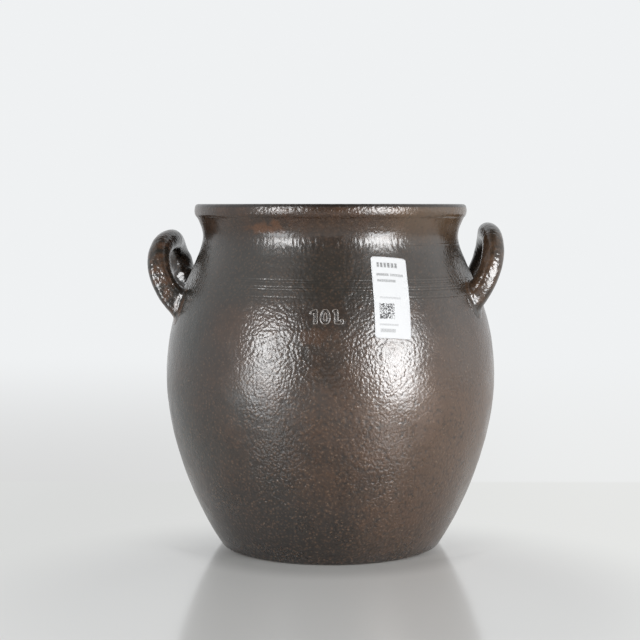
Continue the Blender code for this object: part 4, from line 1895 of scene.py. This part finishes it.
@dataclass(frozen=True)
class Studio:
    """A plain pale table, a plain pale surround, the lamps and the camera."""

    backdrop: Tone = (0.865, 0.880, 0.890)
    room: float = 0.30
    # The far table's tones, darker on the left and paler on the right: painted light.
    table_left: Tone = (0.690, 0.697, 0.690)
    table_right: Tone = (0.790, 0.797, 0.785)
    table_colour: Tone = (0.88, 0.88, 0.865)
    table_roughness: float = 0.14
    table_glass: float = 2.1
    table_half: float = 6.0
    table_side: Span = (-0.30, 0.30)
    table_pales: Span = (0.20, 1.35)
    lit_middle: Spot = (0.01, -0.20, 0.0)
    lit_reach: Span = (0.16, 0.31)
    gloss_lift: float = 0.00002
    # A painted contact shadow: the table is darker in a soft ring round the front of the foot.
    painted_shadow_ring: Span = (0.1040, 0.1380)
    painted_shadow_front: Span = (-0.075, -0.020)
    ring_shade: float = 0.76
    table_depth: float = 0.267
    table_edge_blur: float = 0.008
    # The wall's tones, darker on the left and paler on the right: painted light.
    wall_left: Tone = (0.687, 0.690, 0.688)
    wall_right: Tone = (0.831, 0.840, 0.838)
    wall_pales: Span = (0.017, 1.6)
    dim: float = 0.13
    dim_reach: float = 3.0
    dim_half_width: float = 1.05
    dim_fade: float = 0.75
    dim_turns_deg: Span = (-8, 125)
    lens: float = 84.375
    camera_distance: float = 1.233
    camera_height: float = 0.2775
    camera_turn_deg: float = 3.5
    focal_px: float = 1500.0
    horizon_px: float = 206.5
    axis_px: float = 330.4
    middle_px: float = 320.0
    table_glare_distance: float = 0.726

    @staticmethod
    def seen(net: Net) -> bpy.types.NodeSocket:
        """Where the room shows as it is: to the camera, and in gloss."""
        ray = net.add("ShaderNodeLightPath")
        return net.sum("MAXIMUM", ray.outputs["Is Camera Ray"], ray.outputs["Is Glossy Ray"])

    def surround(self) -> None:
        """Lights the room from all round, and shows it as a pale backdrop."""
        world = bpy.data.worlds.new("pale_room")
        bpy.context.scene.world = world
        world.use_nodes = True
        net = Net(world.node_tree)
        shine = world.node_tree.nodes["Background"]
        net.join(net.mix(self.seen(net), self.room, 1.0), shine.inputs["Strength"])
        shine.inputs["Color"].default_value = (*self.backdrop, 1.0)

    def far_tone(self, net: Net, place: bpy.types.NodeSocket) -> bpy.types.NodeSocket:
        """The tone of the table outside the lit part, and of the wall behind its back edge, with
        painted light: darker on the left, paler on the right and paler still far off.

        Args:
            net: the material's wiring.
            place: the place on the table.

        Returns:
            The colour's socket.
        """
        across = net.ramp(net.split(place)[0], *self.table_side)
        near = net.tint(across, self.table_left, self.table_right)
        table = net.tint(
            net.ramp(net.vector("LENGTH", place), *self.table_pales), near, self.backdrop
        )
        turn = math.radians(self.camera_turn_deg)
        deep = net.vector("DOT_PRODUCT", place, (-math.sin(turn), math.cos(turn), 0.0))
        wall = net.tint(across, self.wall_left, self.wall_right)
        wall = net.tint(net.ramp(deep, *self.wall_pales), wall, self.backdrop)
        edge = self.table_depth
        beyond = net.ramp(deep, edge - self.table_edge_blur, edge + self.table_edge_blur)
        return net.tint(beyond, table, wall)

    def table(self, name: str, height: float) -> bpy.types.Object:
        """The glossy pale table top, which fades into the surround, with a painted contact shadow
        round the front of the foot.

        Args:
            name: the sheet's name.
            height: where it lies. Above zero it is see-through from below.

        Returns:
            The sheet.
        """
        half = self.table_half
        corners = [(-half, -half), (half, -half), (half, half), (-half, half)]
        points = np.array([(x, y, height) for x, y in corners])
        piece = as_object(name, points, [np.array([[0, 1, 2, 3]])])
        made, net, shader = new_material(f"{name}_finish")
        place = net.add("ShaderNodeTexCoord").outputs["Object"]
        # Painted contact shadow: darker in a soft ring round the front of the foot, on the lit
        # table and on its pale glow alike.
        behind = net.ramp(net.split(place)[1], *self.painted_shadow_front)
        ring = net.ramp(net.vector("LENGTH", place), *self.painted_shadow_ring)
        outside_painted_shadow = net.sum("MAXIMUM", ring, behind)
        dusk = tuple(self.ring_shade * channel for channel in self.table_colour)
        net.join(net.tint(outside_painted_shadow, dusk, self.table_colour), shader.inputs["Base Color"])
        shader.inputs["Roughness"].default_value = self.table_roughness
        shader.inputs["IOR"].default_value = self.table_glass
        pale = net.add("ShaderNodeEmission")
        net.join(self.far_tone(net, place), pale.inputs["Color"])
        strength = net.mix(self.seen(net), self.room, 1.0)
        strength = net.times(strength, net.mix(outside_painted_shadow, self.ring_shade, 1.0))
        net.join(strength, pale.inputs["Strength"])
        away = net.vector("LENGTH", net.vector("SUBTRACT", place, self.lit_middle))
        faded = net.ramp(away, *self.lit_reach)
        surface = net.shown(faded, shader.outputs[0], pale.outputs[0])
        if height > 0:
            below = net.add("ShaderNodeNewGeometry").outputs["Backfacing"]
            clear = net.add("ShaderNodeBsdfTransparent")
            surface = net.shown(below, surface, clear.outputs[0])
        net.join(surface, made.node_tree.nodes["Material Output"].inputs["Surface"])
        piece.data.materials.append(made)
        return piece

    def dim_end(self) -> None:
        """The unlit end of the room, behind the camera and overhead, which only gloss mirrors."""
        turns = np.radians(np.linspace(*self.dim_turns_deg, 40))
        edge = self.dim_half_width + self.dim_fade
        points = [
            (x, -self.dim_reach * math.cos(t), self.dim_reach * math.sin(t))
            for t in turns
            for x in (-edge, edge)
        ]
        first = np.arange(0, 2 * (len(turns) - 1), 2)
        quads = np.stack([first, first + 1, first + 3, first + 2], 1)
        piece = as_object("dim_end_of_room", np.array(points), [quads])
        made = bpy.data.materials.new("unlit_room")
        made.use_nodes = True
        made.node_tree.nodes.clear()
        net = Net(made.node_tree)
        x = net.split(net.add("ShaderNodeTexCoord").outputs["Object"])[0]
        cover = net.ramp(net.sum("ABSOLUTE", x), edge, self.dim_half_width - self.dim_fade)
        clear = net.add("ShaderNodeBsdfTransparent")
        dusk = net.add("ShaderNodeEmission")
        dusk.inputs["Color"].default_value = (*self.backdrop, 1.0)
        dusk.inputs["Strength"].default_value = self.dim
        surface = net.shown(cover, clear.outputs[0], dusk.outputs[0])
        net.join(surface, net.add("ShaderNodeOutputMaterial").inputs["Surface"])
        piece.data.materials.append(made)
        piece.visible_camera = False
        piece.visible_diffuse = False
        piece.visible_shadow = False
        piece.rotation_euler = (0, 0, math.radians(self.camera_turn_deg))

    def lamps(self) -> list[Lamp]:
        """The lamps of the room.

        Returns:
            The two softboxes, once to light and once to be mirrored, the glare that only gloss
            shows, and the pale wall on the right.
        """
        lamps = []
        for glow in (Glow.LIGHT, Glow.MIRRORED):
            left, right = (f"{side.value}_softbox_{glow.value}" for side in Side)
            lamps.append(Lamp(left, -42.0, 11.8, (0.42, 0.40), 12.0, glow))
            lamps.append(Lamp(right, 44.5, 10.0, (0.56, 0.56), 10.4, glow))
        near = self.table_glare_distance
        return lamps + [
            Lamp("left_softbox_glare", -42.0, 15.5, (0.36, 0.24), 5.8),
            Lamp("left_table_glare", -43.0, -6.5, (0.38, 0.30), 8.0, distance=near),
            Lamp("right_softbox_glare", 44.5, 13.5, (0.60, 0.42), 7.6),
            Lamp("right_table_glare", 42.5, -6.5, (0.42, 0.30), 13.5, distance=near),
            Lamp("right_wall", 96.0, 8.0, (0.6, 0.8), 0.45, Glow.BOTH),
        ]

    def camera(self) -> None:
        """The camera of the photograph."""
        data = bpy.data.cameras.new("camera")
        data.lens = self.lens
        data.sensor_width = 36.0
        camera = bpy.data.objects.new("camera", data)
        bpy.context.scene.collection.objects.link(camera)
        turn = math.radians(self.camera_turn_deg)
        camera.location = (
            math.sin(turn) * self.camera_distance,
            -math.cos(turn) * self.camera_distance,
            self.camera_height,
        )
        pitch = math.atan((self.middle_px - self.horizon_px) / self.focal_px)
        yaw = math.atan((self.axis_px - self.middle_px) / self.focal_px)
        camera.rotation_euler = (math.pi / 2 - pitch, 0, turn + yaw)
        bpy.context.scene.camera = camera

    def build(self, pieces: list[bpy.types.Object]) -> None:
        """Sets up the whole studio.

        Args:
            pieces: the crock's meshes. They mirror the lamps, and so does the table top in their
                gloss, but not the one that the camera sees.
        """
        bpy.context.scene.view_settings.view_transform = "Standard"
        self.surround()
        shown = self.table("table_top", 0.0)
        shown.visible_glossy = False
        in_gloss = self.table("table_top_in_the_gloss", self.gloss_lift)
        in_gloss.visible_camera = False
        in_gloss.visible_diffuse = False
        in_gloss.visible_transmission = False
        in_gloss.visible_shadow = False
        self.dim_end()
        mirrors = bpy.data.collections.new("mirrors_of_the_lamps")
        for piece in (*pieces, in_gloss):
            mirrors.objects.link(piece)
        for lamp in self.lamps():
            lamp.hang(self.camera_turn_deg, mirrors)
        self.camera()


def settle(
    piece: bpy.types.Object, node: str, finish: bpy.types.Material
) -> bpy.types.Object:
    """Dresses a piece and puts it in the place of its CAD node.

    Args:
        piece: the finished mesh.
        node: the CAD node that it stands for.
        finish: its material.

    Returns:
        The piece.
    """
    piece.data.materials.append(finish)
    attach(piece, BODY)
    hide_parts(node)
    log.info("%s: %d faces for node %s", piece.name, len(piece.data.polygons), node)
    return piece


def main() -> None:
    """Builds the crock piece by piece, and then the studio round it."""
    logging.basicConfig(level=logging.INFO, format="%(name)s: %(message)s")
    shelf = Shelf()
    body_glaze = SaltGlaze("brown_salt_glaze_skin").made(shelf, ear=False)
    ear_glaze = SaltGlaze(
        "ear_salt_glaze_skin",
        deep=(0.019, 0.0120, 0.0080),
        warm=(0.050, 0.0265, 0.0150),
        rust=(0.165, 0.076, 0.037),
        peel_size=2.1,
        peel_height=0.00054,
        roughness=0.16,
        veil=0.12,
    ).made(shelf, ear=True)
    brown_ear_glaze = SaltGlaze(
        "ear_salt_glaze_browner_skin",
        deep=(0.020, 0.0145, 0.0100),
        warm=(0.060, 0.0345, 0.0200),
        rust=(0.125, 0.070, 0.040),
        peel_size=2.3,
        peel_height=0.00054,
        roughness=0.17,
        veil=0.12,
    ).made(shelf, ear=True)

    form = WallForm()
    body = ThrownBody(form, StampedMark())
    pieces = [settle(body.build(), "body", body_glaze)]

    left = CoilEar(
        side=Side.LEFT,
        azimuth_deg=176.5,
        foot_below_top=0.0855,
        foot_depth=0.0085,
        rise=0.0557,
        limb_reach=0.0150,
        upper_reach=0.0098,
        crown_reach=0.0066,
        foot_coil=0.0108,
        limb_coil=0.0097,
        crown_coil=0.0092,
        fillet=0.0070,
        dab=(
            ((-0.1300, 0.0465, 0.2310), 0.0070),
            ((-0.1270, 0.0379, 0.2179), 0.0100),
            ((-0.1135, 0.0350, 0.1990), 0.0088),
        ),
    )
    right = CoilEar(
        side=Side.RIGHT,
        azimuth_deg=2.8,
        foot_below_top=0.0815,
        foot_depth=0.0100,
        rise=0.0584,
        limb_reach=0.0087,
        upper_reach=0.0062,
        crown_reach=0.0034,
        foot_coil=0.0102,
        limb_coil=0.0092,
        crown_coil=0.0086,
        flat_deg=-77.0,
        flat_share=0.90,
    )
    for ear, finish in ((left, ear_glaze), (right, brown_ear_glaze)):
        node = f"ear_{ear.side.value}"
        pieces.append(settle(ear.build(body), node, finish))

    label = PaperLabel()
    pieces.append(settle(label.build(body), "label", label.paper(shelf)))

    Studio().build(pieces)


if __name__ == "__main__":
    main()
